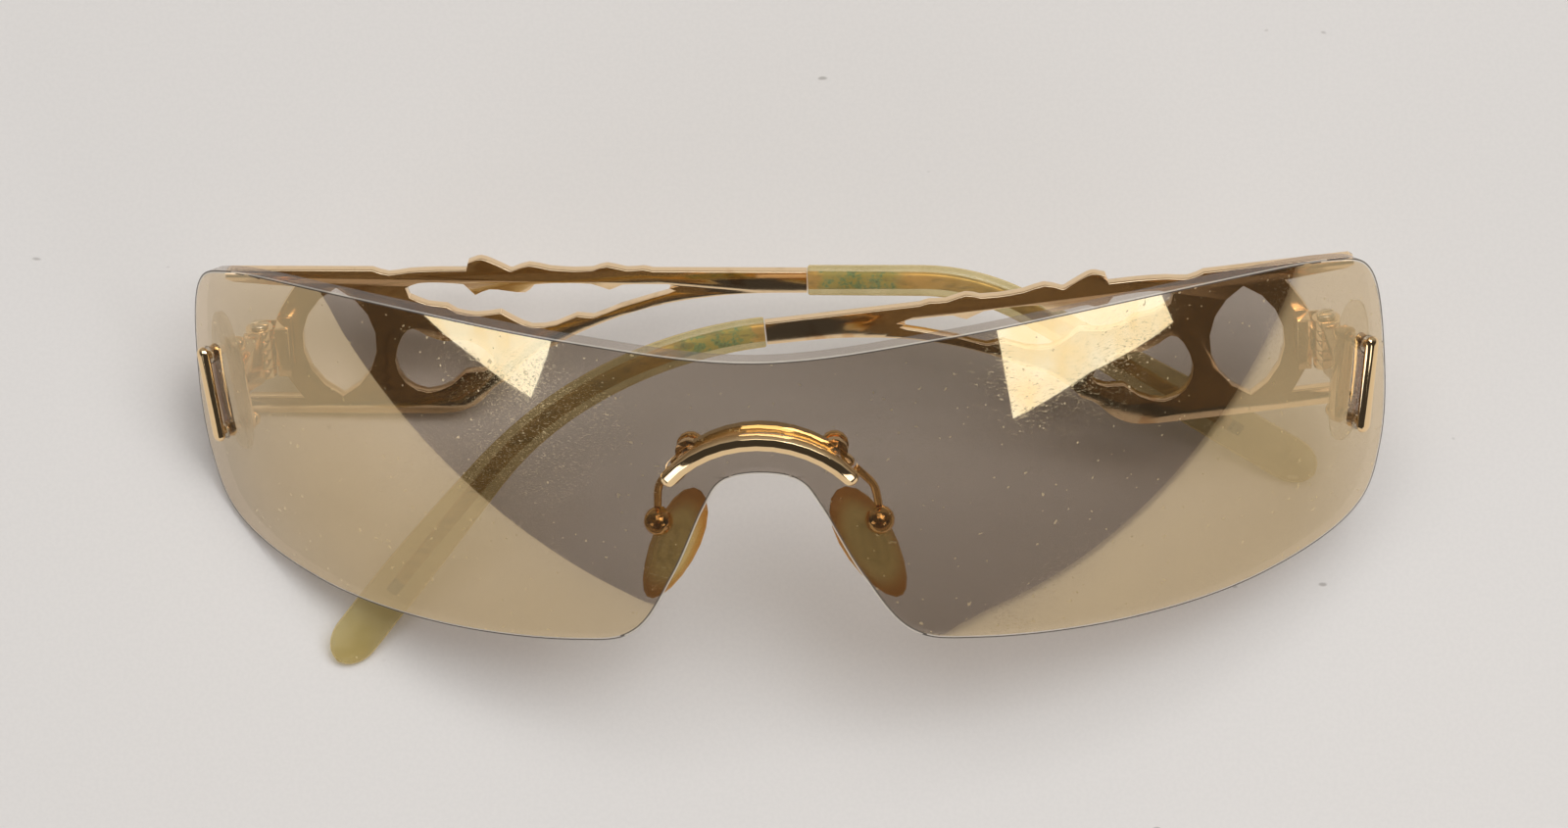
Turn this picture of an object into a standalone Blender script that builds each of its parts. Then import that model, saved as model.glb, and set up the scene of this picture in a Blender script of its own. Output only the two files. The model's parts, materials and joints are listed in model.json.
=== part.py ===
"""Rimless shield sunglasses, folded: one curved lens, a bridge, nose pads and pierced metal temples.

Every shape is first placed as the glasses are worn: X to the wearer's left, Y backwards and Z up, with
the origin on the front of the lens. The whole is then laid on a table, on the two temple tips and the
lower edge of the right temple, which is how a folded pair lies.
"""

import math

import bmesh
import bpy
from mathutils import Matrix, Vector

MM = 0.001

# Lens: a piece of a barrel, bent strongly round the face and slightly from brow to cheek
LENS_RADIUS = 95.0 * MM
LENS_RISE_RADIUS = 160.0 * MM
LENS_MIDDLE = -12.0 * MM
LENS_THICKNESS = 1.8 * MM
LENS_STRIP = 5.4 * MM
LENS_ROW = 10.5 * MM
# Half of the outline, as distance along the front surface and height, from the brow to the nose notch
LENS_UNIT = 1.0 * MM
LENS_OUTLINE = ((0, 6.3), (22.3, 7.8), (42.7, 8.5), (61.0, 7.4), (75.0, 4.9), (81.3, 1.0), (82.6, -10),
                (82.0, -22.3), (77.8, -30.2), (63.3, -33.8), (44.9, -34.4), (25.4, -33.0),
                (16.8, -30.6), (11.2, -22.0), (7.0, -12.8), (4.4, -9.0), (0, -8.0))

# Clearances between pieces that touch
SEAT_GAP = 0.12 * MM
BORE_GAP = 0.08 * MM

# Bridge: a bar in front of the lens, one behind it, and two studs through both
BRIDGE_ARC_RADIUS = 13.7 * MM
BRIDGE_TOP = -3.2 * MM
BRIDGE_HALF_ANGLE = math.radians(50)
BRIDGE_FRONT_RADIUS = 1.1 * MM
BRIDGE_REAR_RADIUS = 0.75 * MM
BRIDGE_STUD_ACROSS = 8.9 * MM
BRIDGE_STUD_RADIUS = 0.5 * MM
EYELET_RADIUS = 1.55 * MM
EYELET_THICKNESS = 1.0 * MM
BRIDGE_NUT_RADIUS = 1.7 * MM
BRIDGE_NUT_HEIGHT = 1.9 * MM

# Nose pads, on wire arms, each rocking on a pin in a round clevis
PAD_LENGTH = 15.6 * MM
PAD_WIDTH = 7.0 * MM
PAD_THICKNESS = 2.0 * MM
PAD_TAPER = 0.16
PAD_PIN_ACROSS = 13.2 * MM
PAD_PIN_BACK = 6.0 * MM
PAD_PIN_DROP = 17.5 * MM
PAD_SPLAY = math.radians(50)
PAD_LEAN = math.radians(22)
PAD_TWIST = math.radians(18)
CUP_RADIUS = 1.8 * MM
CUP_FLAT = 1.2 * MM
PIN_ABOVE_PAD_CENTRE = 2.6 * MM
PIN_TO_PAD = 3.2 * MM
PAD_INSET = 1.2 * MM
CUP_SLOT = 1.1 * MM
CUP_WALL = 0.9 * MM
PAD_LUG_THICKNESS = 0.8 * MM
PAD_LUG_RADIUS = 0.85 * MM
PAD_PIN_RADIUS = 0.3 * MM
PAD_ARM_RADIUS = 0.5 * MM
PAD_ARM_BOW = 0.6 * MM

# Mounts at the lens's ends: a front bar with two studs, a clear gasket and a strap behind the lens
MOUNT_ACROSS = 78.6 * MM
MOUNT_HEIGHT = -12.8 * MM
MOUNT_LEAN = math.radians(9.5)
MOUNT_BAR_LENGTH = 12.4 * MM
MOUNT_BAR_WIDTH = 1.9 * MM
MOUNT_BAR_THICKNESS = 1.4 * MM
MOUNT_STUD_SPACING = 9.9 * MM
MOUNT_STUD_RADIUS = 0.5 * MM
BUSH_WALL = 0.35 * MM
GASKET_HEIGHT = 18.2 * MM
GASKET_WIDTH = 6.2 * MM
GASKET_THICKNESS = 0.7 * MM
STRAP_WIDTH = 2.2 * MM
STRAP_THICKNESS = 1.0 * MM
STUD_NUT_RADIUS = 0.95 * MM
STUD_NUT_HEIGHT = 1.1 * MM

# Hinges: five leaves on one screw, placed from the mount: along the lens, behind it and higher
HINGE_ALONG = 3.0 * MM
HINGE_BEHIND = 8.8 * MM
HINGE_RISE = 1.45 * MM
LEAF_COUNT = 5
LEAF_THICKNESS = 1.2 * MM
LEAF_GAP = 0.12 * MM
BARREL_RADIUS = 1.7 * MM
LUG_ROOT_HEIGHT = 3.6 * MM
LUG_ROOT_DROP = 0.9 * MM
LUG_WIDTH = 2.2 * MM
LUG_CLEARANCE = 0.25 * MM
HINGE_BLOCK_LENGTH = 1.6 * MM
SCREW_RADIUS = 0.5 * MM
SCREW_HEAD_RADIUS = 1.15 * MM
SCREW_HEAD_HEIGHT = 0.6 * MM
SCREW_SLOT = 0.3 * MM

# Temple plates, cut from sheet, with their distances from the hinge pivot
PLATE_UNIT = 1.0 * MM
PLATE_THICKNESS = 1.4 * MM
PLATE_OFFSET = 3.0 * MM
PLATE_HALF_HEIGHT = 9.9 * MM
PLATE_LENGTH = 67.5 * MM
PLATE_END_HEIGHT = 2.8 * MM
ARM_WIDTH = 2.2 * MM

# Temple tips, of one length but bent apart by wear
TIP_LENGTH = 69.2 * MM
TIP_START_HEIGHT = 3.0 * MM
TIP_MIDDLE_HEIGHT = 3.6 * MM
TIP_END_HEIGHT = 5.9 * MM
TIP_START_THICKNESS = 2.05 * MM
TIP_END_THICKNESS = 2.4 * MM
TIP_RINGS = 20
TIP_SIDES = 12
CORE_RINGS = 12
CORE_SIDES = 8
CORE_LENGTH = 59.0 * MM
CORE_HEIGHT = 1.5 * MM
CORE_THICKNESS = 0.8 * MM

# How each temple lies: rest angle, droop, and its tip's straight run, bend radius, bend and inward set
TEMPLES = {
    "right": {"side": -1, "rest": math.radians(1.0), "droop": math.radians(1.4),
              "straight": 13.7 * MM, "radius": 24.6 * MM, "bend": math.radians(32.7), "inset": 0.5 * MM},
    "left": {"side": 1, "rest": math.radians(-8.8), "droop": math.radians(2.3),
             "straight": 0.0 * MM, "radius": 50.0 * MM, "bend": math.radians(44.9), "inset": 4.7 * MM},
}
INSET_START = 24.0 * MM

MATERIALS = {
    "lens_tint": ((0.46, 0.40, 0.34), 0.0, 0.04, 0.45),
    "gold": ((0.83, 0.60, 0.30), 1.0, 0.16, 1.0),
    "gold_worn": ((0.62, 0.47, 0.24), 1.0, 0.28, 1.0),
    "steel": ((0.72, 0.70, 0.66), 1.0, 0.30, 1.0),
    "clear_plastic": ((0.92, 0.88, 0.78), 0.0, 0.10, 0.45),
    "acetate": ((0.78, 0.68, 0.34), 0.0, 0.22, 0.85),
    "pad_plastic": ((0.62, 0.46, 0.16), 0.0, 0.18, 0.75),
}


# Scene and collection

def clear_scene():
    for item in list(bpy.data.objects):
        bpy.data.objects.remove(item, do_unlink=True)


def make_collection(name):
    collection = bpy.data.collections.new(name)
    bpy.context.scene.collection.children.link(collection)
    return collection


def make_materials():
    made = {}
    for name, (colour, metallic, roughness, alpha) in MATERIALS.items():
        material = bpy.data.materials.new(name)
        material.use_nodes = True
        shader = material.node_tree.nodes["Principled BSDF"]
        shader.inputs["Base Color"].default_value = (*colour, 1.0)
        shader.inputs["Metallic"].default_value = metallic
        shader.inputs["Roughness"].default_value = roughness
        shader.inputs["Alpha"].default_value = alpha
        made[name] = material
    return made


def add_part(name, mesh, material, parent, sharp=math.radians(35)):
    mesh.name = name
    mesh.materials.clear()
    mesh.materials.append(STOCK[material])
    mesh.shade_smooth()
    mesh.set_sharp_from_angle(angle=sharp)
    part = bpy.data.objects.new(name, mesh)
    PART.objects.link(part)
    part.parent = parent
    return part


def add_empty(name, parent, place=Matrix()):
    empty = bpy.data.objects.new(name, None)
    empty.empty_display_size = 5 * MM
    PART.objects.link(empty)
    empty.parent = parent
    empty.matrix_local = place
    return empty


# Mesh helpers

def evaluated_mesh(data, modifiers=()):
    """The mesh that a curve or a mesh becomes, with any (type, settings) modifiers applied."""
    holder = bpy.data.objects.new("holder", data)
    bpy.context.scene.collection.objects.link(holder)
    for kind, settings in modifiers:
        modifier = holder.modifiers.new(kind.lower(), kind)
        for key, value in settings.items():
            setattr(modifier, key, value)
    graph = bpy.context.evaluated_depsgraph_get()
    mesh = bpy.data.meshes.new_from_object(holder.evaluated_get(graph))
    bpy.data.objects.remove(holder, do_unlink=True)
    return mesh


def edited(mesh, edit):
    """The mesh after a bmesh edit, with doubled points merged and faces pointing out."""
    bm = bmesh.new()
    bm.from_mesh(mesh)
    edit(bm)
    bmesh.ops.remove_doubles(bm, verts=bm.verts, dist=0.001 * MM)
    bmesh.ops.recalc_face_normals(bm, faces=bm.faces)
    bm.to_mesh(mesh)
    bm.free()
    return mesh


def primitive(create, place=Matrix()):
    bm = bmesh.new()
    create(bm)
    bmesh.ops.transform(bm, matrix=place, verts=bm.verts)
    mesh = bpy.data.meshes.new("primitive")
    bm.to_mesh(mesh)
    bm.free()
    return mesh


def cylinder(radius, start, end, segments=16):
    """A cylinder between two points."""
    axis = end - start
    turn = axis.to_track_quat("Z", "Y").to_matrix().to_4x4()
    place = Matrix.Translation((start + end) / 2) @ turn
    return primitive(lambda bm: bmesh.ops.create_cone(
        bm, cap_ends=True, segments=segments, radius1=radius, radius2=radius, depth=axis.length), place)


def box(low, high, place=Matrix()):
    """A box between two corners, in the given frame."""
    low, high = Vector(low), Vector(high)
    shape = Matrix.Translation((low + high) / 2) @ Matrix.Diagonal((*(high - low), 1.0))
    return primitive(lambda bm: bmesh.ops.create_cube(bm, size=1.0), place @ shape)


def combined(mesh, other, operation="UNION"):
    """Both meshes joined, or the first one cut by the other."""
    tool = bpy.data.objects.new("tool", other)
    bpy.context.scene.collection.objects.link(tool)
    mesh = evaluated_mesh(mesh, [("BOOLEAN", {"operation": operation, "object": tool})])
    bpy.data.objects.remove(tool, do_unlink=True)
    return edited(mesh, lambda bm: None)


def cut(mesh, other):
    return combined(mesh, other, "DIFFERENCE")


def turned(profile, place, segments=20):
    """A profile of (radius, height) points, turned about Z, in the given frame."""
    mesh = bpy.data.meshes.new("profile")
    points = [(radius, 0.0, height) for radius, height in profile]
    edges = [(i, (i + 1) % len(points)) for i in range(len(points))]
    on_axis = [i for i, (radius, height) in enumerate(profile) if radius == 0.0]
    if len(on_axis) == 2:
        edges = [edge for edge in edges if set(edge) != set(on_axis)]
    mesh.from_pydata(points, edges, [])
    screw = {"steps": segments, "render_steps": segments, "use_merge_vertices": True,
             "merge_threshold": 0.001 * MM, "use_normal_calculate": True}
    mesh = evaluated_mesh(mesh, [("SCREW", screw)])
    mesh.transform(place)
    return edited(mesh, lambda bm: None)


def slab(outlines, thickness):
    """Flat closed outlines, the first with the others as holes, in the XZ plane."""
    curve = bpy.data.curves.new("outline", "CURVE")
    curve.dimensions = "2D"
    curve.fill_mode = "BOTH"
    curve.extrude = thickness / 2
    for outline in outlines:
        spline = curve.splines.new("POLY")
        spline.points.add(len(outline) - 1)
        for point, (x, z) in zip(spline.points, outline):
            point.co = (x, z, 0.0, 1.0)
        spline.use_cyclic_u = True
    mesh = evaluated_mesh(curve)
    bpy.data.curves.remove(curve)
    mesh.transform(Matrix.Rotation(math.pi / 2, 4, "X"))
    return edited(mesh, lambda bm: None)


def rod(points, radius, resolution=2, round_ends=False):
    """A round bar or wire through the points, with domed ends if asked."""
    steps = []
    if round_ends:
        ahead = (points[0] - points[1]).normalized()
        behind = (points[-1] - points[-2]).normalized()
        dome = [(math.sin(angle), math.cos(angle)) for angle in (1.45, 1.1, 0.75, 0.4)]
        steps = [(points[0] + ahead * radius * out, size) for out, size in dome]
        steps += [(point, 1.0) for point in points]
        steps += [(points[-1] + behind * radius * out, size) for out, size in reversed(dome)]
    else:
        steps = [(point, 1.0) for point in points]
    curve = bpy.data.curves.new("rod", "CURVE")
    curve.dimensions = "3D"
    curve.bevel_depth = radius
    curve.bevel_resolution = resolution
    curve.use_fill_caps = True
    curve.twist_mode = "MINIMUM"
    spline = curve.splines.new("POLY")
    spline.points.add(len(steps) - 1)
    for point, (place, size) in zip(spline.points, steps):
        point.co = (*place, 1.0)
        point.radius = size
    mesh = evaluated_mesh(curve)
    bpy.data.curves.remove(curve)
    return edited(mesh, lambda bm: None)


def smooth(points, steps=5, closed=False):
    """A smooth line through the points, as a Catmull-Rom curve."""
    points = [Vector(point) for point in points]
    count = len(points)
    line = []
    for i in range(count if closed else count - 1):
        b, c = points[i], points[(i + 1) % count]
        a = points[i - 1] if closed or i > 0 else b * 2 - c
        d = points[(i + 2) % count] if closed or i + 2 < count else c * 2 - b
        for k in range(steps):
            t = k / steps
            line.append(0.5 * (2 * b + (c - a) * t + (2 * a - 5 * b + 4 * c - d) * t ** 2
                               + (3 * b - a - 3 * c + d) * t ** 3))
    if not closed:
        line.append(points[-1])
    return line


# Places on the lens

def lens_sag(height):
    """How far the lens has curved back at a height."""
    return (height - LENS_MIDDLE) ** 2 / (2 * LENS_RISE_RADIUS)


def on_lens(across, height, depth):
    """A point at a distance along the front surface, a height, and a depth behind that surface."""
    angle = across / LENS_RADIUS
    reach = LENS_RADIUS - depth - lens_sag(height)
    return Vector((reach * math.sin(angle), LENS_RADIUS - reach * math.cos(angle), height))


def lens_frame(across, height, depth, lean=0.0):
    """A frame on the lens: X along it, Y to the rear and Z up, leaning in the surface."""
    turn = Matrix.Rotation(across / LENS_RADIUS, 4, "Z") @ Matrix.Rotation(lean, 4, "Y")
    return Matrix.Translation(on_lens(across, height, depth)) @ turn


def stud_frame(side, level, depth=0.0):
    """The frame of a mount stud's centre: level is -1 for the lower one and 1 for the upper one."""
    frame = lens_frame(side * MOUNT_ACROSS, MOUNT_HEIGHT, depth, side * MOUNT_LEAN)
    return frame @ Matrix.Translation((0, 0, level * MOUNT_STUD_SPACING / 2))


def bridge_point(angle, depth):
    across = BRIDGE_ARC_RADIUS * math.sin(angle)
    height = BRIDGE_TOP - BRIDGE_ARC_RADIUS * (1 - math.cos(angle))
    return on_lens(across, height, depth)


BRIDGE_STUD_ANGLE = math.asin(BRIDGE_STUD_ACROSS / BRIDGE_ARC_RADIUS)
BRIDGE_STUD_HEIGHT = BRIDGE_TOP - BRIDGE_ARC_RADIUS * (1 - math.cos(BRIDGE_STUD_ANGLE))
BRIDGE_FRONT_DEPTH = -(SEAT_GAP + BRIDGE_FRONT_RADIUS)
BRIDGE_REAR_DEPTH = LENS_THICKNESS + SEAT_GAP + BRIDGE_REAR_RADIUS
BRIDGE_NUT_DEPTH = BRIDGE_REAR_DEPTH + BRIDGE_REAR_RADIUS + SEAT_GAP
BUSH_RADIUS = MOUNT_STUD_RADIUS + BORE_GAP + BUSH_WALL
GASKET_DEPTH = LENS_THICKNESS + 1.5 * SEAT_GAP + GASKET_THICKNESS / 2
STRAP_SAG = MOUNT_BAR_LENGTH ** 2 / (8 * LENS_RISE_RADIUS)
STRAP_DEPTH = GASKET_DEPTH + GASKET_THICKNESS / 2 + SEAT_GAP + STRAP_SAG + STRAP_THICKNESS / 2
STUD_NUT_DEPTH = STRAP_DEPTH + STRAP_THICKNESS / 2 + SEAT_GAP
LEAF_PITCH = LEAF_THICKNESS + LEAF_GAP
STACK_HEIGHT = LEAF_COUNT * LEAF_THICKNESS + (LEAF_COUNT - 1) * LEAF_GAP
HINGE_PIVOT = lens_frame(MOUNT_ACROSS, MOUNT_HEIGHT, 0) @ Vector((HINGE_ALONG, HINGE_BEHIND, HINGE_RISE))
PAD_PIN = Vector((PAD_PIN_ACROSS, PAD_PIN_BACK, -PAD_PIN_DROP))


# Lens

def bent_sheet(sheet, strip, row, bend):
    """A flat sheet sliced into strips and rows of a given size, with each point moved by bend."""

    def slices(bm):
        bmesh.ops.dissolve_limit(bm, angle_limit=0.01, verts=bm.verts, edges=bm.edges)
        for axis, size in (((1, 0, 0), strip), ((0, 0, 1), row)):
            axis = Vector(axis)
            low = min(vert.co.dot(axis) for vert in bm.verts)
            high = max(vert.co.dot(axis) for vert in bm.verts)
            count = round((high - low) / size)
            for i in range(1, count):
                bmesh.ops.bisect_plane(bm, geom=bm.verts[:] + bm.edges[:] + bm.faces[:],
                                       dist=0.001 * MM, plane_no=axis,
                                       plane_co=axis * (low + (high - low) * i / count))
        bmesh.ops.triangulate(bm, faces=bm.faces)
        for vert in bm.verts:
            vert.co = bend(vert.co)

    return edited(sheet, slices)


def hole_outline(across, height, radius, count=14):
    turns = [2 * math.pi * i / count for i in range(count)]
    return [(across + radius * math.cos(turn), height + radius * math.sin(turn)) for turn in turns]


def make_lens():
    half = [(across * LENS_UNIT, height * LENS_UNIT) for across, height in LENS_OUTLINE]
    mirrored = [(-across, height) for across, height in reversed(half[1:-1])]
    outline = [tuple(point) for point in smooth(half + mirrored, steps=5, closed=True)]
    outlines = [outline]
    for side in (-1, 1):
        outlines.append(hole_outline(side * BRIDGE_STUD_ACROSS, BRIDGE_STUD_HEIGHT,
                                     BRIDGE_STUD_RADIUS + 2 * BORE_GAP))
        for level in (-1, 1):
            offset = level * MOUNT_STUD_SPACING / 2
            outlines.append(hole_outline(side * (MOUNT_ACROSS + offset * math.sin(MOUNT_LEAN)),
                                         MOUNT_HEIGHT + offset * math.cos(MOUNT_LEAN),
                                         BUSH_RADIUS + BORE_GAP))
    flat = slab(outlines, LENS_THICKNESS)

    bent = bent_sheet(flat, LENS_STRIP, LENS_ROW, lambda point: on_lens(
        point.x, point.z, LENS_THICKNESS / 2 + point.y))
    add_part("shield_lens", bent, "lens_tint", FRONT)


# Bridge

def make_bridge():
    steps = 12
    turns = [BRIDGE_HALF_ANGLE * (2 * i / steps - 1) for i in range(steps + 1)]
    front = rod([bridge_point(turn, BRIDGE_FRONT_DEPTH) for turn in turns],
                BRIDGE_FRONT_RADIUS, round_ends=True)
    rear = rod([bridge_point(turn, BRIDGE_REAR_DEPTH) for turn in turns],
               BRIDGE_REAR_RADIUS, round_ends=True)
    for side in (-1, 1):
        across = side * BRIDGE_STUD_ACROSS
        start = on_lens(across, BRIDGE_STUD_HEIGHT, BRIDGE_FRONT_DEPTH)
        end = on_lens(across, BRIDGE_STUD_HEIGHT, BRIDGE_NUT_DEPTH + 0.5 * BRIDGE_NUT_HEIGHT)
        front = combined(front, cylinder(BRIDGE_STUD_RADIUS, start, end))
        seat = [on_lens(across, BRIDGE_STUD_HEIGHT, BRIDGE_REAR_DEPTH + half * EYELET_THICKNESS / 2)
                for half in (-1, 1)]
        rear = combined(rear, cylinder(EYELET_RADIUS, *seat))
        through = [on_lens(across, BRIDGE_STUD_HEIGHT, BRIDGE_REAR_DEPTH + half * 2 * BRIDGE_REAR_RADIUS)
                   for half in (-1, 1)]
        rear = cut(rear, cylinder(BRIDGE_STUD_RADIUS + BORE_GAP, *through))
    add_part("bridge_front_bar", front, "gold", FRONT)
    add_part("bridge_rear_bar", rear, "gold", FRONT)
    for name, side in (("right", -1), ("left", 1)):
        frame = lens_frame(side * BRIDGE_STUD_ACROSS, BRIDGE_STUD_HEIGHT, BRIDGE_NUT_DEPTH)
        nut = dome_nut(BRIDGE_NUT_RADIUS, BRIDGE_NUT_HEIGHT, BRIDGE_STUD_RADIUS + BORE_GAP, frame)
        add_part("bridge_nut_" + name, nut, "gold", FRONT)


def dome_nut(radius, height, bore, frame):
    """A domed nut on a blind thread, standing on the rear side of its frame."""
    skirt = 0.35 * height
    dome = [(radius * math.cos(turn), skirt + (height - skirt) * math.sin(turn))
            for turn in (0.0, 0.45, 0.9, 1.3)]
    profile = [(0.0, 0.62 * height), (bore, 0.62 * height), (bore, 0.0), (radius, 0.0)]
    profile += dome + [(0.0, height)]
    return turned(profile, frame @ Matrix.Rotation(-math.pi / 2, 4, "X"), segments=14)


# Nose pads

def pad_frame(side):
    """The frame of a pad's pin: X along the pin and backwards, Y towards the nose, Z up the pad."""
    mirror = Matrix.Diagonal((side, 1, 1, 1))
    inward = Vector((-math.cos(PAD_SPLAY), math.sin(PAD_SPLAY), 0))
    towards_nose = inward * math.cos(PAD_LEAN) - Vector((0, 0, math.sin(PAD_LEAN)))
    across = Vector((math.sin(PAD_SPLAY), math.cos(PAD_SPLAY), 0))
    along = across.cross(towards_nose)
    turn = Matrix((across, towards_nose, along)).transposed().to_4x4()
    return mirror @ Matrix.Translation(PAD_PIN) @ turn @ Matrix.Rotation(-PAD_TWIST, 4, "Y")


def make_pad(name, side):
    frame = pad_frame(side)

    def body(bm):
        bmesh.ops.create_uvsphere(bm, u_segments=18, v_segments=10, radius=1.0)
        for vert in bm.verts:
            wide = 1 + PAD_TAPER * vert.co.z
            vert.co = Vector((vert.co.x * wide * PAD_WIDTH / 2 - PAD_INSET,
                              vert.co.y * PAD_THICKNESS / 2 + PIN_TO_PAD,
                              vert.co.z * PAD_LENGTH / 2 - PIN_ABOVE_PAD_CENTRE))

    lug, neck = PAD_LUG_THICKNESS / 2, 0.85 * PAD_LUG_RADIUS
    bore = cylinder(PAD_PIN_RADIUS + BORE_GAP, Vector((-PAD_WIDTH, 0, 0)), Vector((PAD_WIDTH, 0, 0)))
    pad = combined(primitive(body), cylinder(PAD_LUG_RADIUS, Vector((-lug, 0, 0)), Vector((lug, 0, 0))))
    pad = combined(pad, box((-0.9 * lug, 0, -neck), (0.9 * lug, PIN_TO_PAD, neck)))
    pad = cut(pad, bore)

    reach = 2 * CUP_RADIUS
    cup = primitive(lambda bm: bmesh.ops.create_uvsphere(bm, u_segments=14, v_segments=8,
                                                         radius=CUP_RADIUS))
    cup = cut(cup, box((-reach, CUP_FLAT, -reach), (reach, reach, reach)))
    cup = cut(cup, box((-CUP_SLOT / 2, CUP_WALL - CUP_RADIUS, -reach), (CUP_SLOT / 2, reach, reach)))
    cup = cut(cup, bore)
    half_pin = 0.93 * CUP_RADIUS
    pin = cylinder(PAD_PIN_RADIUS, Vector((-half_pin, 0, 0)), Vector((half_pin, 0, 0)), segments=12)

    for mesh in (pad, cup, pin):
        mesh.transform(frame)
        edited(mesh, lambda bm: None)
    place = Matrix.Translation(frame.translation)
    rocker = add_empty(name + "_pad_rock", FRONT, place)
    pad.transform(place.inverted())
    add_part("nose_pad_" + name, pad, "pad_plastic", rocker)
    add_part("pad_cup_" + name, cup, "gold_worn", FRONT)
    add_part("pad_pin_" + name, pin, "steel", FRONT)
    make_pad_arm(name, side, frame.translation)


def make_pad_arm(name, side, cup_centre):
    start = bridge_point(side * BRIDGE_HALF_ANGLE, BRIDGE_REAR_DEPTH)
    ahead = (start - bridge_point(side * (BRIDGE_HALF_ANGLE - 0.05), BRIDGE_REAR_DEPTH)).normalized()
    start = start + ahead * (BRIDGE_REAR_RADIUS + PAD_ARM_RADIUS + SEAT_GAP)
    top = cup_centre + Vector((0, 0, CUP_RADIUS + SEAT_GAP))
    bow = (start + top) / 2 + Vector((side * PAD_ARM_BOW, PAD_ARM_BOW, 0))
    points = smooth([start, bow, top], steps=6)
    add_part("pad_arm_" + name, rod(points, PAD_ARM_RADIUS), "gold_worn", FRONT)


# Mounts at the lens's ends

def stadium(width, height, count=8):
    """A flat outline with round ends, upright."""
    half = height / 2 - width / 2
    top = [(width / 2 * math.cos(math.pi * i / count), half + width / 2 * math.sin(math.pi * i / count))
           for i in range(count + 1)]
    return top + [(-x, -z) for x, z in top]


def oval(width, height, count=28, power=2.3):
    points = []
    for i in range(count):
        turn = 2 * math.pi * i / count
        c, s = math.cos(turn), math.sin(turn)
        points.append((width / 2 * math.copysign(abs(c) ** (2 / power), c),
                       height / 2 * math.copysign(abs(s) ** (2 / power), s)))
    return points


def make_mount(name, side):
    frame = lens_frame(side * MOUNT_ACROSS, MOUNT_HEIGHT, 0.0, side * MOUNT_LEAN)
    bar_depth = -(SEAT_GAP + MOUNT_BAR_THICKNESS / 2)
    half = MOUNT_BAR_LENGTH / 2 - MOUNT_BAR_WIDTH / 2
    bar = rod([Vector((0, 0, half * i / 3)) for i in range(-3, 4)], MOUNT_BAR_WIDTH / 2,
              resolution=2, round_ends=True)
    bar.transform(Matrix.Diagonal((1, MOUNT_BAR_THICKNESS / MOUNT_BAR_WIDTH, 1, 1)))
    bar.transform(frame @ Matrix.Translation((0, bar_depth, 0)))
    bushes, nuts = [], []
    for level in (-1, 1):
        start = stud_frame(side, level, bar_depth).translation
        end = stud_frame(side, level, STUD_NUT_DEPTH + 0.5 * STUD_NUT_HEIGHT).translation
        bar = combined(bar, cylinder(MOUNT_STUD_RADIUS, start, end, segments=16))
        bush = [stud_frame(side, level, depth).translation
                for depth in (0.04 * LENS_THICKNESS, 0.98 * LENS_THICKNESS)]
        bore = [stud_frame(side, level, depth).translation
                for depth in (-LENS_THICKNESS, 2 * LENS_THICKNESS)]
        bushes.append(cut(cylinder(BUSH_RADIUS, *bush, segments=16),
                          cylinder(MOUNT_STUD_RADIUS + BORE_GAP, *bore, segments=16)))
        nuts.append(dome_nut(STUD_NUT_RADIUS, STUD_NUT_HEIGHT, MOUNT_STUD_RADIUS + BORE_GAP,
                             stud_frame(side, level, STUD_NUT_DEPTH)))
    add_part("mount_bar_" + name, bar, "gold", FRONT)
    for kind, material, meshes in (("stud_bush_", "clear_plastic", bushes), ("stud_nut_", "gold", nuts)):
        for place, mesh in zip(("lower_", "upper_"), meshes):
            add_part(kind + place + name, mesh, material, FRONT)
    make_gasket(name, side)
    make_end_piece(name, side)


def make_gasket(name, side):
    holes = [hole_outline(0, level * MOUNT_STUD_SPACING / 2, MOUNT_STUD_RADIUS + BORE_GAP)
             for level in (-1, 1)]
    raised = HINGE_PIVOT.z - MOUNT_HEIGHT
    outline = [(x, z + raised / 2) for x, z in oval(GASKET_WIDTH, GASKET_HEIGHT)]
    lean = Matrix.Rotation(side * MOUNT_LEAN, 4, "Y")
    gasket = slab([outline] + holes, GASKET_THICKNESS)
    gasket.transform(lean)
    gasket = bent_sheet(gasket, GASKET_WIDTH, GASKET_HEIGHT / 4, lambda point: on_lens(
        side * MOUNT_ACROSS + point.x, MOUNT_HEIGHT + point.z, GASKET_DEPTH + point.y))
    add_part("lens_gasket_" + name, gasket, "clear_plastic", FRONT)


def pivot(side):
    return Vector((side * HINGE_PIVOT.x, HINGE_PIVOT.y, HINGE_PIVOT.z))


def leaf_levels(of_temple):
    """Heights of the hinge leaves' centres: the temple's and the front's take turns."""
    return [(i - (LEAF_COUNT - 1) / 2) * LEAF_PITCH for i in range(LEAF_COUNT) if (i % 2 == 1) == of_temple]


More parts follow.
